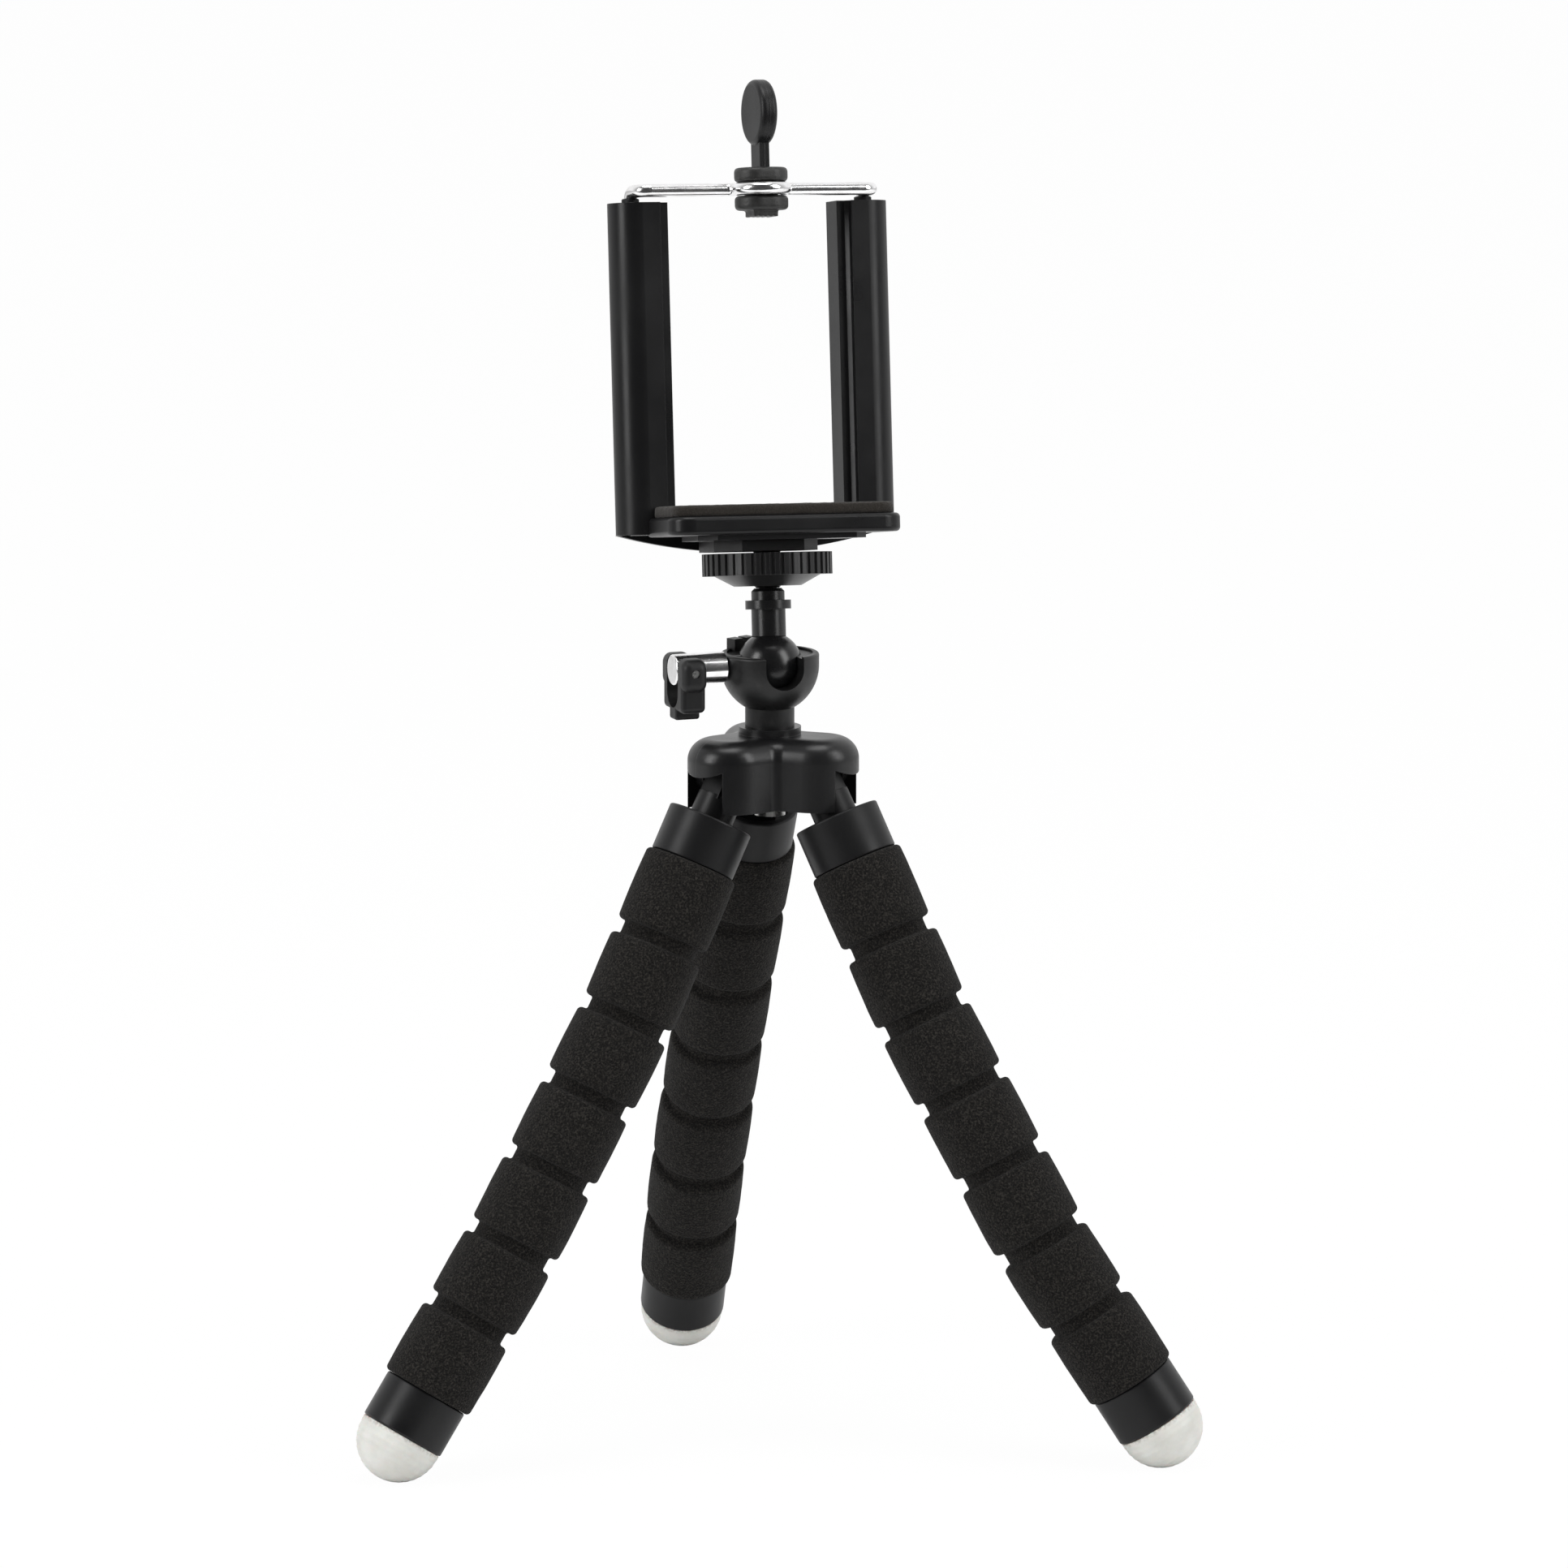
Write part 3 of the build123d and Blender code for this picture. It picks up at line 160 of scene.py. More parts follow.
def parting_line(tree, where, point, across, out=None):
    """1 on the parting plane through a point and 0 off it. With a way out, it starts at SEAM_START."""
    apart = node(tree, "ShaderNodeVectorMath", operation="SUBTRACT")
    tree.links.new(where, apart.inputs[0])
    apart.inputs[1].default_value = Vector(point)
    aside = node(tree, "ShaderNodeVectorMath", operation="DOT_PRODUCT")
    tree.links.new(apart.outputs["Vector"], aside.inputs[0])
    aside.inputs[1].default_value = Vector(across).normalized()
    off = node(tree, "ShaderNodeMath", operation="ABSOLUTE")
    tree.links.new(aside.outputs["Value"], off.inputs[0])
    line = node(tree, "ShaderNodeMapRange")
    line.inputs["From Max"].default_value = SEAM_HALF_WIDTH
    line.inputs["To Min"].default_value = 1
    line.inputs["To Max"].default_value = 0
    tree.links.new(off.outputs["Value"], line.inputs["Value"])
    if out is None:
        return line.outputs["Result"]
    along = node(tree, "ShaderNodeVectorMath", operation="DOT_PRODUCT")
    tree.links.new(apart.outputs["Vector"], along.inputs[0])
    along.inputs[1].default_value = Vector(out).normalized()
    past = node(tree, "ShaderNodeMath", operation="GREATER_THAN")
    past.inputs[1].default_value = SEAM_START
    tree.links.new(along.outputs["Value"], past.inputs[0])
    cut = node(tree, "ShaderNodeMath", operation="MULTIPLY")
    tree.links.new(line.outputs["Result"], cut.inputs[0])
    tree.links.new(past.outputs["Value"], cut.inputs[1])
    return cut.outputs["Value"]


def hub_seams(tree, where):
    """Parting line down the middle of each lobe of the hub."""
    seams = None
    for leg in LEGS:
        out = Vector(joints[f"leg_{leg}_swing"]["pos_m"]) - hub_axis
        out.z = 0
        line = parting_line(tree, where, hub_axis, out.cross(Vector((0, 0, 1))), out)
        if seams is None:
            seams = line
            continue
        both = node(tree, "ShaderNodeMath", operation="MAXIMUM")
        tree.links.new(seams, both.inputs[0])
        tree.links.new(line, both.inputs[1])
        seams = both.outputs["Value"]
    return seams


def moulded_plastic(name, polish=PLASTIC_POLISH, worn=PLASTIC_WORN, shine=PLASTIC_SHINE, seams=None):
    """Black plastic with a fine satin grain, soft flow marks, dull patches and softened edges."""
    finish, tree, shader, where = new_finish(name)
    flow = blotches(tree, where, PLASTIC_FLOW, detail=4, low=0.35, high=0.70)
    fine = blotches(tree, where, PLASTIC_GRAIN, detail=2, low=0.30, high=0.70)
    dust = blotches(tree, where, PLASTIC_DUST, detail=5, low=0.60, high=0.85)
    colour = mix_colours(tree, dust, PLASTIC_BLACK, PLASTIC_DUSTY)
    tree.links.new(colour, shader.inputs["Base Color"])
    tree.links.new(between(tree, flow, polish, worn), shader.inputs["Roughness"])
    shader.inputs["Specular IOR Level"].default_value = shine
    soft_edge = node(tree, "ShaderNodeBevel", samples=4, Radius=PLASTIC_EDGE)
    skin = grain(tree, shader, fine, PLASTIC_GRAIN_DEPTH, soft_edge.outputs["Normal"])
    if seams is not None:
        grain(tree, shader, seams(tree, where), SEAM_HEIGHT, skin)
    return finish


def bare_metal(name, colour, dull_colour, polish, dull, cloud_size=METAL_CLOUD, depth=METAL_GRAIN_DEPTH):
    """Metal with a fine uneven polish and faint cloudy marks."""
    finish, tree, shader, where = new_finish(name)
    shader.inputs["Metallic"].default_value = 1
    cloud = blotches(tree, where, cloud_size, detail=5, low=0.35, high=0.75)
    tree.links.new(mix_colours(tree, cloud, colour, dull_colour), shader.inputs["Base Color"])
    tree.links.new(between(tree, cloud, polish, dull), shader.inputs["Roughness"])
    fine = blotches(tree, where, METAL_GRAIN, detail=2, low=0.3, high=0.7)
    grain(tree, shader, fine, depth)
    return finish


def finish_node(name, finish):
    """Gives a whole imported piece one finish."""
    for place in frame["nodes"][name].material_slots:
        place.material = finish


hub_plastic = moulded_plastic("hub_satin_black", seams=hub_seams)
steel = bare_metal("zinc_plated_steel", STEEL_BRIGHT, STEEL_DULL, polish=0.26, dull=0.42)
finish_node("hub_shell", hub_plastic)
finish_node("hub_hinge_pins", steel)
finish_node("socket_screw", steel)

# Leg necks and collars
# Each leg hangs from its pin by a moulded eye, and its shank is pressed into an open collar.
# A plain collar of the same plastic closes the foam's lower end.
collar_plastic = moulded_plastic("collar_satin_black", polish=0.33, worn=0.50, shine=0.25)
for leg in LEGS:
    for piece in ("neck", "top_collar", "foot_collar"):
        finish_node(f"{piece}_{leg}", collar_plastic)

# Leg cores
# A soft thick wire in a black coat runs down each leg, and lets the leg be bent by hand and stay bent.
# It is drawn as three lengths with a ball and a cup at each bend, and the foam hides it.
core_coat = moulded_plastic("core_coat", polish=0.5, worn=0.65, shine=0.30)
for leg in LEGS:
    for length in ("upper", "middle", "lower"):
        finish_node(f"core_{length}_{leg}", core_coat)

# Foam sleeves
# Black foam rubber is extruded over the core and cut with narrow ring grooves into seven segments.
# Its skin is matt, a little brown and full of small cut cells, and its corners are rounded by the cutter.
FOAM_START = 0.0216
SEGMENT_PITCH = 0.0189
SEGMENT_COUNT = 7
SLEEVE_JOIN = 4
FOAM_RADIUS = 0.0107
GROOVE_RADIUS = 0.0088
GROOVE_HALF = 0.00165
OUTER_CORNER = 0.00105
INNER_CORNER = 0.00060
CORNER_STEPS = 5
FLAT_STEP = 0.0010
SEGMENT_CROWN = 0.00012
SEGMENT_SWELL = 0.00008
FOAM_UNEVEN = 0.00007
FOAM_WAVE = 110
FOAM_RIPPLE = 420
FOAM_RIPPLE_SHARE = 0.5
GROOVE_UNEVEN_SHARE = 0.3
FOAM_END_GAP = 0.00005
CORE_ROOM = 0.00275
BEND_EASE = 0.0085
FOAM_SIDES = 88
FOOT_RADIUS = 0.0096
FOOT_SUNK = 0.0004
FOAM_BLACK = (0.0042, 0.0038, 0.0034, 1)
FOAM_GREY = (0.0265, 0.0240, 0.0210, 1)
# Near black painted shade that darkens the foam's pit hollows.
FOAM_PIT_SHADE = (0.0012, 0.0011, 0.0010, 1)
FOAM_CELL = 1900
FOAM_PIT_DEPTH = 0.00012
FOAM_SPECKLE = 2300
FOAM_SPECKLE_DEPTH = 0.00008
FOAM_CLOUD = 140
mounts = {mount["name"]: mount for mount in frame["record"]["mounts"]}


def foam_rubber():
    """Matt foam: light and dark cells of a few tenths of a millimetre, with small pit hollows that carry painted
    shade.
    """
    finish, tree, shader, where = new_finish("foam_rubber_black")
    cells = node(tree, "ShaderNodeTexVoronoi", Scale=FOAM_CELL, Randomness=1.0)
    tree.links.new(where, cells.inputs["Vector"])
    pit_depth_and_shade = node(tree, "ShaderNodeMapRange")
    pit_depth_and_shade.inputs["From Min"].default_value = 0.10
    pit_depth_and_shade.inputs["From Max"].default_value = 0.55
    tree.links.new(cells.outputs["Distance"], pit_depth_and_shade.inputs["Value"])
    speckle = blotches(tree, where, FOAM_SPECKLE, detail=3, low=0.44, high=0.66)
    cloud = blotches(tree, where, FOAM_CLOUD, detail=4, low=0.30, high=0.75)
    skin = mix_colours(tree, speckle, FOAM_BLACK, FOAM_GREY)
    # Painted shade: the skin colour is darkened to near black in the pit hollows, where the pit bump sinks in.
    pit_shaded_skin = mix_colours(tree, pit_depth_and_shade.outputs["Result"], FOAM_PIT_SHADE, skin)
    tree.links.new(pit_shaded_skin, shader.inputs["Base Color"])
    tree.links.new(between(tree, cloud, 0.86, 1.0), shader.inputs["Roughness"])
    shader.inputs["Specular IOR Level"].default_value = 0.12
    shader.inputs["Sheen Weight"].default_value = 0.03
    shader.inputs["Sheen Roughness"].default_value = 0.6
    pit_bump = grain(tree, shader, pit_depth_and_shade.outputs["Result"], FOAM_PIT_DEPTH)
    grain(tree, shader, speckle, FOAM_SPECKLE_DEPTH, pit_bump)
    return finish


def leg_points(leg):
    """Hinge, first bend, second bend and foot centre of one leg, down the leg."""
    points = [Vector(joints[f"leg_{leg}_{place}"]["pos_m"]) for place in ("swing", "bend_1", "bend_2")]
    rest = Vector(mounts[f"foot_{leg}_rest"]["pos_m"])
    points.append(rest + Vector((0, 0, FOOT_RADIUS - FOOT_SUNK)))
    return points


def leg_place(points, along):
    """Point and direction on the leg's middle line, where each kink is eased into a short curve."""
    passed = 0
    last_run = len(points) - 2
    for index in range(last_run + 1):
        start, end = points[index], points[index + 1]
        length = (end - start).length
        way = (end - start).normalized()
        into = along - passed
        if index < last_run and length - BEND_EASE < into < length + BEND_EASE:
            next_way = (points[index + 2] - end).normalized()
            share = (into - length + BEND_EASE) / (2 * BEND_EASE)
            first = end - way * BEND_EASE
            last = end + next_way * BEND_EASE
            point = first * (1 - share) ** 2 + end * (2 * share * (1 - share)) + last * share ** 2
            return point, (way * (1 - share) + next_way * share).normalized()
        if into <= length or index == last_run:
            return start + way * into, way
        passed += length


def corner(centre, radius, start, end):
    """Places and radii round one corner of the foam's profile, from one angle to another."""
    steps = []
    for step in range(CORNER_STEPS + 1):
        angle = math.radians(start + (end - start) * step / CORNER_STEPS)
        steps.append((centre[0] + radius * math.cos(angle), centre[1] + radius * math.sin(angle)))
    return steps


def segment_profile(low, high, open_low, open_high, swell):
    """Profile of one segment between two groove floors; an open end is square to the collar."""
    outer = FOAM_RADIUS + swell
    low_face = low if open_low else low + GROOVE_HALF
    high_face = high if open_high else high - GROOVE_HALF
    profile = []
    if not open_low:
        profile.append((low, GROOVE_RADIUS))
        profile += corner((low_face - INNER_CORNER, GROOVE_RADIUS + INNER_CORNER), INNER_CORNER, -90, 0)
    profile += corner((low_face + OUTER_CORNER, outer - OUTER_CORNER), OUTER_CORNER, 180, 90)
    flat = high_face - low_face - 2 * OUTER_CORNER
    count = round(flat / FLAT_STEP)
    for step in range(1, count):
        share = step / count
        crown = SEGMENT_CROWN * 4 * share * (1 - share)
        profile.append((low_face + OUTER_CORNER + flat * share, outer + crown))
    profile += corner((high_face - OUTER_CORNER, outer - OUTER_CORNER), OUTER_CORNER, 90, 0)
    if not open_high:
        profile += corner((high_face + INNER_CORNER, GROOVE_RADIUS + INNER_CORNER), INNER_CORNER, 180, 270)
    return profile


def skin_between(shape, loops):
    """Faces between each loop of points and the next."""
    for lower, upper in zip(loops, loops[1:]):
        for index in range(len(lower)):
            after = (index + 1) % len(lower)
            shape.faces.new((lower[index], lower[after], upper[after], upper[index]))


def made_piece(name, shape, smooth):
    """Object of a finished shape, in the scene."""
    bmesh.ops.recalc_face_normals(shape, faces=shape.faces)
    mesh = bpy.data.meshes.new(name)
    shape.to_mesh(mesh)
    shape.free()
    for face in mesh.polygons:
        face.use_smooth = smooth
    piece = bpy.data.objects.new(name, mesh)
    bpy.context.scene.collection.objects.link(piece)
    return piece


def turned_mesh(name, rings, sides, place_ring, wobble):
    """Closed mesh turned round a line: rings of (place, radius), with a flat face at each end."""
    shape = bmesh.new()
    loops = []
    for place, radius in rings:
        centre, way = place_ring(place)
        side = way.cross(Vector((0, 0, 1))).normalized()
        other = way.cross(side)
        loop = []
        for index in range(sides):
            angle = 2 * math.pi * index / sides
            out = side * math.cos(angle) + other * math.sin(angle)
            point = centre + out * radius
            loop.append(shape.verts.new(point + out * wobble(point, radius)))
        loops.append(loop)
    skin_between(shape, loops)
    shape.faces.new(list(reversed(loops[0])))
    shape.faces.new(loops[-1])
    return made_piece(name, shape, smooth=True)


def foam_wobble(point, radius):
    """Foam is never quite round: a slow unevenness, less in the grooves."""
    slow = noise.noise(point * FOAM_WAVE) + FOAM_RIPPLE_SHARE * noise.noise(point * FOAM_RIPPLE)
    return FOAM_UNEVEN * slow * (1 if radius > GROOVE_RADIUS + INNER_CORNER else GROOVE_UNEVEN_SHARE)


def foam_sleeve(name, leg, first, last, seed):
    """Sleeve of the segments from first up to last, as one piece curved along the leg's bends."""
    points = leg_points(leg)
    cutter = random.Random(seed)
    rings = []
    for index in range(first, last):
        low = FOAM_START + index * SEGMENT_PITCH
        at_top = index == 0
        at_foot = index == SEGMENT_COUNT - 1
        swell = cutter.uniform(-SEGMENT_SWELL, SEGMENT_SWELL)
        low_end = low + FOAM_END_GAP if at_top else low
        high_end = low + SEGMENT_PITCH - (FOAM_END_GAP if at_foot else 0)
        rings += segment_profile(low_end, high_end, at_top, at_foot, swell)
    last_place = FOAM_START + last * SEGMENT_PITCH
    if last < SEGMENT_COUNT:
        rings.append((last_place, GROOVE_RADIUS))
    rings = [(rings[0][0], CORE_ROOM)] + rings + [(rings[-1][0], CORE_ROOM)]
    return turned_mesh(name, rings, FOAM_SIDES, lambda place: leg_place(points, place), foam_wobble)


foam = foam_rubber()
for number, leg in enumerate(LEGS):
    sleeves = (
        ("upper", 0, SLEEVE_JOIN, 1, ("foam_upper", "foam_middle")),
        ("lower", SLEEVE_JOIN, SEGMENT_COUNT, 2, ("foam_lower",)),
    )
    for half, first, last, bend, stood_for in sleeves:
        sleeve = foam_sleeve(f"foam_sleeve_{half}_{leg}", leg, first, last, 10 * number + bend)
        sleeve.data.materials.append(foam)
        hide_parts(*[f"{part}_{leg}" for part in stood_for])
        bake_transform(sleeve)

# Feet
# A white dome of soft rubber is moulded round each leg's end, with faint turned rings from its mould.
# A thin uneven line of brown glue shows where it meets the collar.
FOOT_TOP_GAP = 0.00005
FOOT_SHANK = 0.0012
FOOT_CHAMFER = 0.00015
FOOT_STEPS = 54
FOOT_SIDES = 96
FOOT_RINGS = 9
FOOT_RING_DEPTH = 0.00011
FOOT_POLE = 0.0001
RUBBER_WHITE = (0.60, 0.60, 0.57, 1)
RUBBER_SHADE = (0.52, 0.52, 0.485, 1)
RUBBER_CLOUD = 180
RUBBER_GRAIN = 2600
RUBBER_GRAIN_DEPTH = 0.00002
GLUE_BROWN = (0.10, 0.055, 0.025, 1)
GLUE_RAGGED = 1300
GLUE_DEPTH = 0.0004


def white_rubber():
    """Milky rubber, a little clouded, with a glue line that the mesh marks near the collar."""
    finish, tree, shader, where = new_finish("white_rubber_dome")
    cloud = blotches(tree, where, RUBBER_CLOUD, detail=4, low=0.35, high=0.70)
    milky = mix_colours(tree, cloud, RUBBER_WHITE, RUBBER_SHADE)
    near_collar = node(tree, "ShaderNodeAttribute", attribute_name="glue").outputs["Fac"]
    ragged = blotches(tree, where, GLUE_RAGGED, detail=3, low=0.40, high=0.62)
    glued = node(tree, "ShaderNodeMath", operation="MULTIPLY")
    tree.links.new(near_collar, glued.inputs[0])
    tree.links.new(ragged, glued.inputs[1])
    colour = mix_colours(tree, glued.outputs["Value"], milky, GLUE_BROWN)
    tree.links.new(colour, shader.inputs["Base Color"])
    tree.links.new(between(tree, cloud, 0.38, 0.52), shader.inputs["Roughness"])
    shader.inputs["Subsurface Weight"].default_value = 0.18
    shader.inputs["Subsurface Scale"].default_value = 0.002
    fine = blotches(tree, where, RUBBER_GRAIN, detail=3, low=0.3, high=0.7)
    grain(tree, shader, fine, RUBBER_GRAIN_DEPTH)
    return finish


def foot_dome(leg):
    """Foot of one leg: a short shank and a ringed half ball, flat where it rests on the ground."""
    points = leg_points(leg)
    foot_place = sum((end - start).length for start, end in zip(points, points[1:]))
    top = foot_place - FOOT_SHANK + FOOT_TOP_GAP
    rings = [(top, CORE_ROOM), (top, FOOT_RADIUS - FOOT_CHAMFER), (top + FOOT_CHAMFER, FOOT_RADIUS)]
    for step in range(FOOT_STEPS + 1):
        share = step / FOOT_STEPS
        turn = share * math.pi / 2
        ripple = FOOT_RING_DEPTH * (0.5 - 0.5 * math.cos(2 * math.pi * FOOT_RINGS * share)) * (1 - share)
        radius = (FOOT_RADIUS - ripple) * math.cos(turn)
        rings.append((foot_place + (FOOT_RADIUS - ripple) * math.sin(turn), max(radius, FOOT_POLE)))
    dome = turned_mesh(
        f"foot_dome_{leg}", rings, FOOT_SIDES,
        place_ring=lambda place: leg_place(points, place), wobble=lambda point, radius: 0,
    )
    centre, way = leg_place(points, foot_place)
    glue = dome.data.attributes.new("glue", "FLOAT", "POINT")
    for index, vertex in enumerate(dome.data.vertices):
        past_top = (vertex.co - centre).dot(way) + FOOT_SHANK
        glue.data[index].value = max(0.0, 1 - past_top / GLUE_DEPTH)
        vertex.co.z = max(vertex.co.z, 0)
    return dome


dome_rubber = white_rubber()
for leg in LEGS:
    dome = foot_dome(leg)
    dome.data.materials.append(dome_rubber)
    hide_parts(f"foot_{leg}")
    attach(dome, f"leg_{leg}_lower")

# Ball socket
# The cup and its post are one casting, slotted at the front for the stem.
# Its smooth black paint is satin, with a faint orange peel and thinner spots.
PAINT_BLACK = (0.0060, 0.0060, 0.0062, 1)
PAINT_THIN = (0.0130, 0.0126, 0.0122, 1)
PAINT_THIN_SIZE = 420
PAINT_CLOUD = 120
PAINT_PEEL = 900
PAINT_PEEL_DEPTH = 0.000008


def black_paint():
    """Smooth paint with a faint orange peel and thinner places."""
    finish, tree, shader, where = new_finish("socket_black_paint")
    thin = blotches(tree, where, PAINT_THIN_SIZE, detail=5, low=0.56, high=0.80)
    tree.links.new(mix_colours(tree, thin, PAINT_BLACK, PAINT_THIN), shader.inputs["Base Color"])
    cloud = blotches(tree, where, PAINT_CLOUD, detail=3, low=0.35, high=0.70)
    tree.links.new(between(tree, cloud, 0.38, 0.50), shader.inputs["Roughness"])
    shader.inputs["Specular IOR Level"].default_value = 0.38
    peel = blotches(tree, where, PAINT_PEEL, detail=2, low=0.25, high=0.75)
    grain(tree, shader, peel, PAINT_PEEL_DEPTH)
    return finish


finish_node("ball_socket", black_paint())

# Ball and stem
# The ball, its stem and the ring are moulded in black plastic, and the cup has worn the ball satin.
# A blackened steel stud with a quarter-inch thread stands on the stem.
BLACKENED_BRIGHT = (0.060, 0.060, 0.062, 1)
BLACKENED_DULL = (0.11, 0.105, 0.10, 1)
ball_plastic = moulded_plastic("ball_satin_black", polish=0.22, worn=0.34, shine=0.5)
finish_node("ball", ball_plastic)
finish_node("stem", ball_plastic)
blackened_steel = bare_metal("blackened_steel", BLACKENED_BRIGHT, BLACKENED_DULL, polish=0.30, dull=0.45)
finish_node("thread_stud", blackened_steel)

# Clamp
# A chrome-plated barrel screws into the side of the cup, and a small pad inside presses on the ball.
# Its folding knob is a lobed grip of black plastic, slotted over the barrel's end on a steel cross pin.
CHROME_BRIGHT = (0.90, 0.90, 0.91, 1)
CHROME_DULL = (0.74, 0.73, 0.72, 1)
CHROME_CLOUD = 260
CHROME_GRAIN_DEPTH = 0.0000003
chrome = bare_metal("chrome_plate", CHROME_BRIGHT, CHROME_DULL, 0.14, 0.24, CHROME_CLOUD, CHROME_GRAIN_DEPTH)
finish_node("clamp_barrel", chrome)
finish_node("clamp_screw", steel)
finish_node("clamp_pad", ball_plastic)
finish_node("clamp_knob", moulded_plastic("knob_black", polish=0.38, worn=0.55, shine=0.36))
finish_node("knob_pin", steel)

# Locking wheel
# The knurled wheel runs on the stud and locks the holder from below.
# It is moulded in satin black plastic, with coarse flutes round its band.
finish_node("locking_wheel", moulded_plastic("wheel_satin_black", polish=0.26, worn=0.40, shine=0.5))

# Phone holder
# The tray, its boss and its back apron are one moulding, and two hollow columns stand in it.
# A brass nut for the stud sits inside the boss.
BRASS_BRIGHT = (0.60, 0.43, 0.16, 1)
BRASS_DULL = (0.42, 0.29, 0.11, 1)
holder_plastic = moulded_plastic("holder_satin_black", polish=0.26, worn=0.40, shine=0.27)
finish_node("holder_base", holder_plastic)
finish_node("column_left", holder_plastic)
finish_node("column_right", holder_plastic)
finish_node("threaded_insert", bare_metal("brass_nut", BRASS_BRIGHT, BRASS_DULL, polish=0.25, dull=0.40))

# Tray pad
# A strip of soft brown-black foam is cut with a die and glued on the tray.
# Its corners are worn a little round, and its skin is slightly uneven.
PAD_VOXEL = 0.00035
PAD_ROUNDS = 5
CORNER_WEAR = 0.5
PAD_UNEVEN = 0.00006
PAD_FINE = 900
PAD_WAVE = 260
PAD_WAVE_SHARE = 0.6
PAD_BROWN = (0.0120, 0.0098, 0.0078, 1)
PAD_LIGHT = (0.0300, 0.0255, 0.0210, 1)
PAD_SPECKLE = 4200
PAD_SPECKLE_DEPTH = 0.00008


def soft_copy(name, source, voxel, rounds):
    """Evenly meshed copy of a packed soft piece, with its corners worn round."""
    piece = frame["nodes"][source].copy()
    piece.data = piece.data.copy()
    piece.name = name
    piece.data.name = name
    piece.parent = None
    piece.data.materials.clear()
    for key in list(piece.keys()):
        del piece[key]
    bpy.context.scene.collection.objects.link(piece)
    remesh = piece.modifiers.new("even_mesh", "REMESH")
    remesh.mode = "VOXEL"
    remesh.voxel_size = voxel
    smooth = piece.modifiers.new("worn_corners", "SMOOTH")
    smooth.factor = CORNER_WEAR
    smooth.iterations = rounds
    bpy.context.view_layer.update()
    shaped = piece.evaluated_get(bpy.context.evaluated_depsgraph_get())
    piece.modifiers.clear()
    mesh = bpy.data.meshes.new_from_object(shaped)
    piece.data = mesh
    for face in mesh.polygons:
        face.use_smooth = True
    return piece


def pad_foam():
    """Brown-black foam of finer cells than the legs'."""
    finish, tree, shader, where = new_finish("pad_foam_brown_black")
    speckle = blotches(tree, where, PAD_SPECKLE, detail=3, low=0.40, high=0.75)
    tree.links.new(mix_colours(tree, speckle, PAD_BROWN, PAD_LIGHT), shader.inputs["Base Color"])
    shader.inputs["Roughness"].default_value = 1.0
    shader.inputs["Specular IOR Level"].default_value = 0.2
    shader.inputs["Sheen Weight"].default_value = 0.15
    grain(tree, shader, speckle, PAD_SPECKLE_DEPTH)
    return finish


pad = soft_copy("tray_foam_pad", "foam_pad", PAD_VOXEL, PAD_ROUNDS)
pad_normals = [vertex.normal.copy() for vertex in pad.data.vertices]
for vertex, normal in zip(pad.data.vertices, pad_normals):
    lift = noise.noise(vertex.co * PAD_FINE) + PAD_WAVE_SHARE * noise.noise(vertex.co * PAD_WAVE)
    vertex.co += normal * PAD_UNEVEN * lift
pad.data.materials.append(pad_foam())
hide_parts("foam_pad")
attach(pad, "holder_body")

# Sprung bail
# One length of chromed wire is bent into the bail, and its two ends slide in the columns.
# Springs inside the columns pull it down, held by a washer on each end.
finish_node("wire_bail", chrome)
finish_node("wire_end_washers", steel)
finish_node("spring_left", steel)
finish_node("spring_right", steel)

# Wire bushes
# A short black rubber bush stands in the top of each column and guides the wire.
# It is a push fit, and its upper edge is bevelled.
BUSH_INNER = 0.00163
BUSH_OUTER = 0.00198
BUSH_HEIGHT = 0.0010
BUSH_BEVEL = 0.0002
BUSH_SIDES = 48
WIRE_ASIDE = 0.0278
WIRE_BACK = 0.0070
COLUMN_TOP_ABOVE_WHEEL_FOOT = 0.0865


def wire_bush(name, side):
    """Short sleeve on one column's top, round the wire."""
    up = Vector(joints["wheel_turn"]["axis"]).normalized()
    across = Vector(joints["ball_tilt"]["axis"]).normalized()
    back = up.cross(across)
    foot = Vector(joints["wheel_turn"]["pos_m"]) + up * COLUMN_TOP_ABOVE_WHEEL_FOOT
    foot += across * side * WIRE_ASIDE + back * WIRE_BACK
    profile = (
        (0, BUSH_INNER), (0, BUSH_OUTER), (BUSH_HEIGHT - BUSH_BEVEL, BUSH_OUTER),
        (BUSH_HEIGHT, BUSH_OUTER - BUSH_BEVEL), (BUSH_HEIGHT, BUSH_INNER),
    )
    shape = bmesh.new()
    loops = []
    for height, radius in profile:
        loop = []
        for index in range(BUSH_SIDES):
            angle = 2 * math.pi * index / BUSH_SIDES
            out = across * math.cos(angle) + back * math.sin(angle)
            loop.append(shape.verts.new(foot + up * height + out * radius))
        loops.append(loop)
    skin_between(shape, loops + loops[:1])
    return made_piece(name, shape, smooth=False)


bush_rubber = moulded_plastic("bush_black_rubber", polish=0.50, worn=0.65, shine=0.30)
for name, side in (("wire_bush_left", -1), ("wire_bush_right", 1)):
    bush = wire_bush(name, side)
    bush.data.materials.append(bush_rubber)
    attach(bush, "holder_body")

# Jaw and finger tab
# The jaw that holds the phone's edge is black rubber, moulded round the bail's loop.
# The tab above it is a flat disc on a short bar, lifted with a finger.
RUBBER_BLACK = (0.0120, 0.0118, 0.0112, 1)
RUBBER_BLOOM = (0.0260, 0.0255, 0.0245, 1)
BLOOM_SIZE = 500
JAW_GRAIN = 2400
JAW_GRAIN_DEPTH = 0.00002
JAW_VOXEL = 0.00022
JAW_ROUNDS = 4


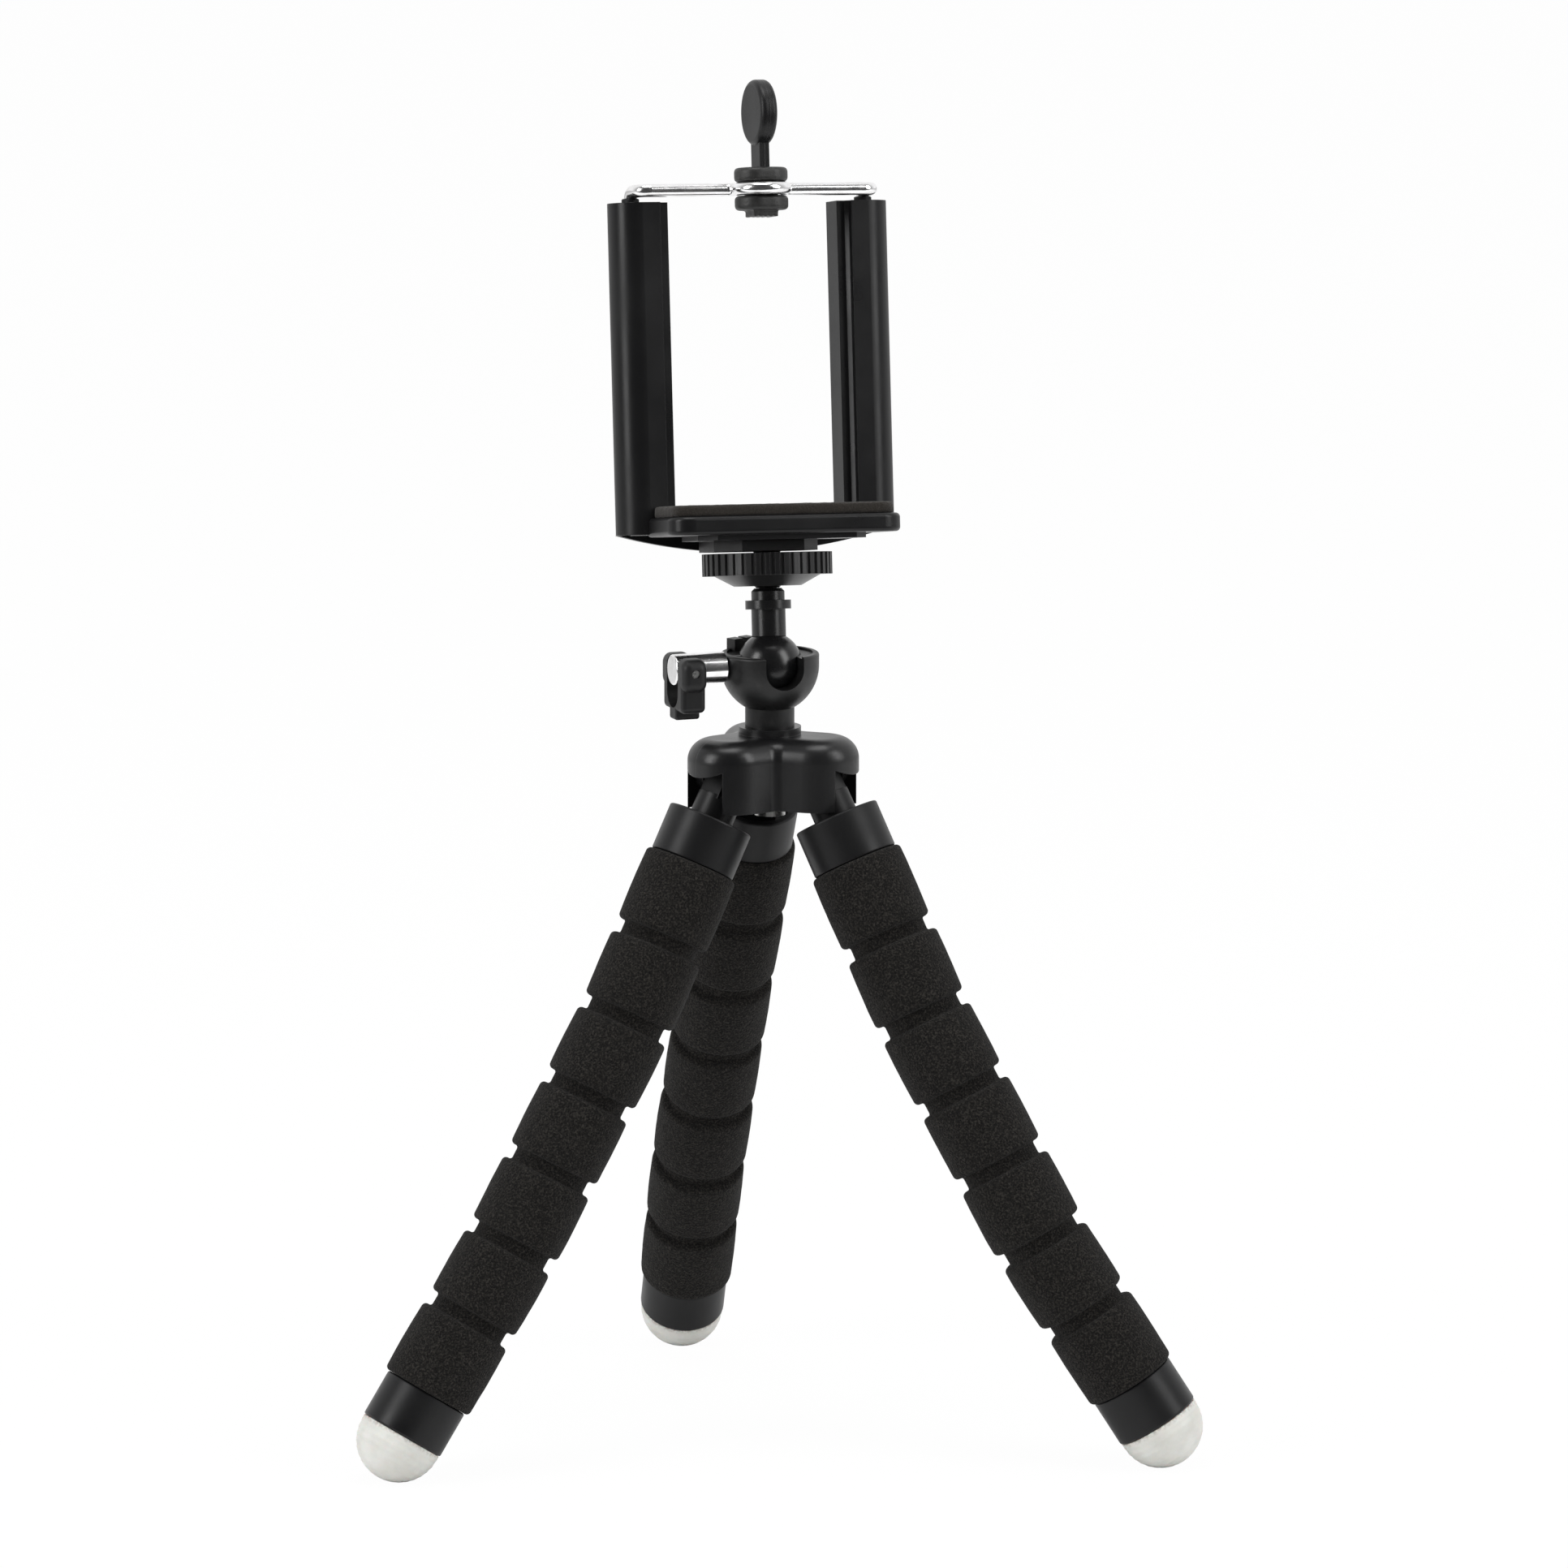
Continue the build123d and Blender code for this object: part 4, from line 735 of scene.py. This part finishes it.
def black_rubber():
    """Dull rubber with a light bloom in patches."""
    finish, tree, shader, where = new_finish("jaw_black_rubber")
    bloom = blotches(tree, where, BLOOM_SIZE, detail=5, low=0.50, high=0.80)
    tree.links.new(mix_colours(tree, bloom, RUBBER_BLACK, RUBBER_BLOOM), shader.inputs["Base Color"])
    tree.links.new(between(tree, bloom, 0.45, 0.65), shader.inputs["Roughness"])
    fine = blotches(tree, where, JAW_GRAIN, detail=3, low=0.3, high=0.7)
    grain(tree, shader, fine, JAW_GRAIN_DEPTH)
    return finish


def tab_seam(tree, where):
    """Parting line round the finger tab's rim."""
    return parting_line(tree, where, joints["wheel_turn"]["pos_m"], joints["ball_tilt"]["axis"])


jaw_rubber = black_rubber()
jaw = soft_copy("jaw_rubber_block", "grip_block", JAW_VOXEL, JAW_ROUNDS)
jaw.data.materials.append(jaw_rubber)
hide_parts("grip_block")
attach(jaw, "bail_body")
tab_plastic = moulded_plastic("tab_satin_black", polish=0.34, worn=0.48, shine=0.29, seams=tab_seam)
finish_node("finger_tab", tab_plastic)

# Studio
# The floor is a wide pale sheet, and the room beyond it is plain white.
# The light is a large soft box on each side in front, one above, and a weak even fill.
FLOOR_HALF_WIDTH = 5.0
FLOOR_FRONT = 0.42
FLOOR_BACK = 9.0
FLOOR_WHITE = (0.86, 0.86, 0.86, 1)
FLOOR_SHOWN = 0.97
ROOM_FILL = 0.60
ROOM_SHOWN = 1.0
ROOM_DARK_SIDE = 0.05
ROOM_TURN = 0.55


def studio_floor():
    """White floor that keeps a light shadow and shows near white to the camera."""
    floor_mesh = bpy.data.meshes.new("studio_floor")
    left, right = -FLOOR_HALF_WIDTH, FLOOR_HALF_WIDTH
    front, back = -FLOOR_FRONT, FLOOR_BACK
    corners = [(left, front, 0), (right, front, 0), (right, back, 0), (left, back, 0)]
    floor_mesh.from_pydata(corners, [], [(0, 1, 2, 3)])
    floor = bpy.data.objects.new("studio_floor", floor_mesh)
    bpy.context.scene.collection.objects.link(floor)
    finish = bpy.data.materials.new("studio_floor_white")
    finish.use_nodes = True
    tree = finish.node_tree
    tree.nodes.clear()
    paper = node(tree, "ShaderNodeBsdfDiffuse", Color=FLOOR_WHITE)
    glow = node(tree, "ShaderNodeEmission", Color=(1, 1, 1, 1), Strength=1.0)
    path = node(tree, "ShaderNodeLightPath")
    seen = node(tree, "ShaderNodeMath", operation="MULTIPLY")
    seen.inputs[1].default_value = FLOOR_SHOWN
    tree.links.new(path.outputs["Is Camera Ray"], seen.inputs[0])
    mixer = node(tree, "ShaderNodeMixShader")
    tree.links.new(seen.outputs["Value"], mixer.inputs[0])
    tree.links.new(paper.outputs[0], mixer.inputs[1])
    tree.links.new(glow.outputs[0], mixer.inputs[2])
    output = node(tree, "ShaderNodeOutputMaterial")
    tree.links.new(mixer.outputs[0], output.inputs["Surface"])
    floor_mesh.materials.append(finish)


def studio_room():
    """Room seen as white that lights weakly; gloss shows it white at the back and dark at the front."""
    world = bpy.data.worlds.new("studio_room")
    bpy.context.scene.world = world
    world.use_nodes = True
    tree = world.node_tree
    tree.nodes.clear()
    path = node(tree, "ShaderNodeLightPath")
    direction = node(tree, "ShaderNodeTexCoord").outputs["Generated"]
    split = node(tree, "ShaderNodeSeparateXYZ")
    tree.links.new(direction, split.inputs[0])
    behind = node(tree, "ShaderNodeMapRange", interpolation_type="SMOOTHSTEP")
    behind.inputs["From Min"].default_value = -ROOM_TURN
    behind.inputs["From Max"].default_value = ROOM_TURN
    behind.inputs["To Min"].default_value = ROOM_DARK_SIDE
    behind.inputs["To Max"].default_value = ROOM_SHOWN
    tree.links.new(split.outputs["Y"], behind.inputs["Value"])
    fill = node(tree, "ShaderNodeBackground", Color=(1, 1, 1, 1), Strength=ROOM_FILL)
    mirrored = node(tree, "ShaderNodeBackground", Color=(1, 1, 1, 1))
    tree.links.new(behind.outputs["Result"], mirrored.inputs["Strength"])
    shown = node(tree, "ShaderNodeBackground", Color=(1, 1, 1, 1), Strength=ROOM_SHOWN)
    glossy_or_glass = node(tree, "ShaderNodeMath", operation="MAXIMUM")
    tree.links.new(path.outputs["Is Glossy Ray"], glossy_or_glass.inputs[0])
    tree.links.new(path.outputs["Is Transmission Ray"], glossy_or_glass.inputs[1])
    first = node(tree, "ShaderNodeMixShader")
    tree.links.new(glossy_or_glass.outputs["Value"], first.inputs[0])
    tree.links.new(fill.outputs[0], first.inputs[1])
    tree.links.new(mirrored.outputs[0], first.inputs[2])
    second = node(tree, "ShaderNodeMixShader")
    tree.links.new(path.outputs["Is Camera Ray"], second.inputs[0])
    tree.links.new(first.outputs[0], second.inputs[1])
    tree.links.new(shown.outputs[0], second.inputs[2])
    output = node(tree, "ShaderNodeOutputWorld")
    tree.links.new(second.outputs[0], output.inputs["Surface"])


def soft_box(name, place, width, height, watts):
    """Rectangular soft light that faces the middle of the tripod."""
    data = bpy.data.lights.new(name, "AREA")
    data.shape = "RECTANGLE"
    data.size = width
    data.size_y = height
    data.energy = watts
    lamp = bpy.data.objects.new(name, data)
    bpy.context.scene.collection.objects.link(lamp)
    lamp.location = place
    lamp.rotation_euler = (aim - Vector(place)).to_track_quat("-Z", "Y").to_euler()


studio_floor()
studio_room()
soft_box("left_soft_box", place=(-1.15, -0.75, 0.75), width=0.55, height=1.0, watts=11.0)
soft_box("right_soft_box", place=(1.05, -0.55, 0.80), width=0.50, height=1.0, watts=8.5)
soft_box("top_soft_box", place=(0.0, -0.15, 1.45), width=0.8, height=0.6, watts=8.0)
bpy.context.scene.view_settings.view_transform = "Standard"
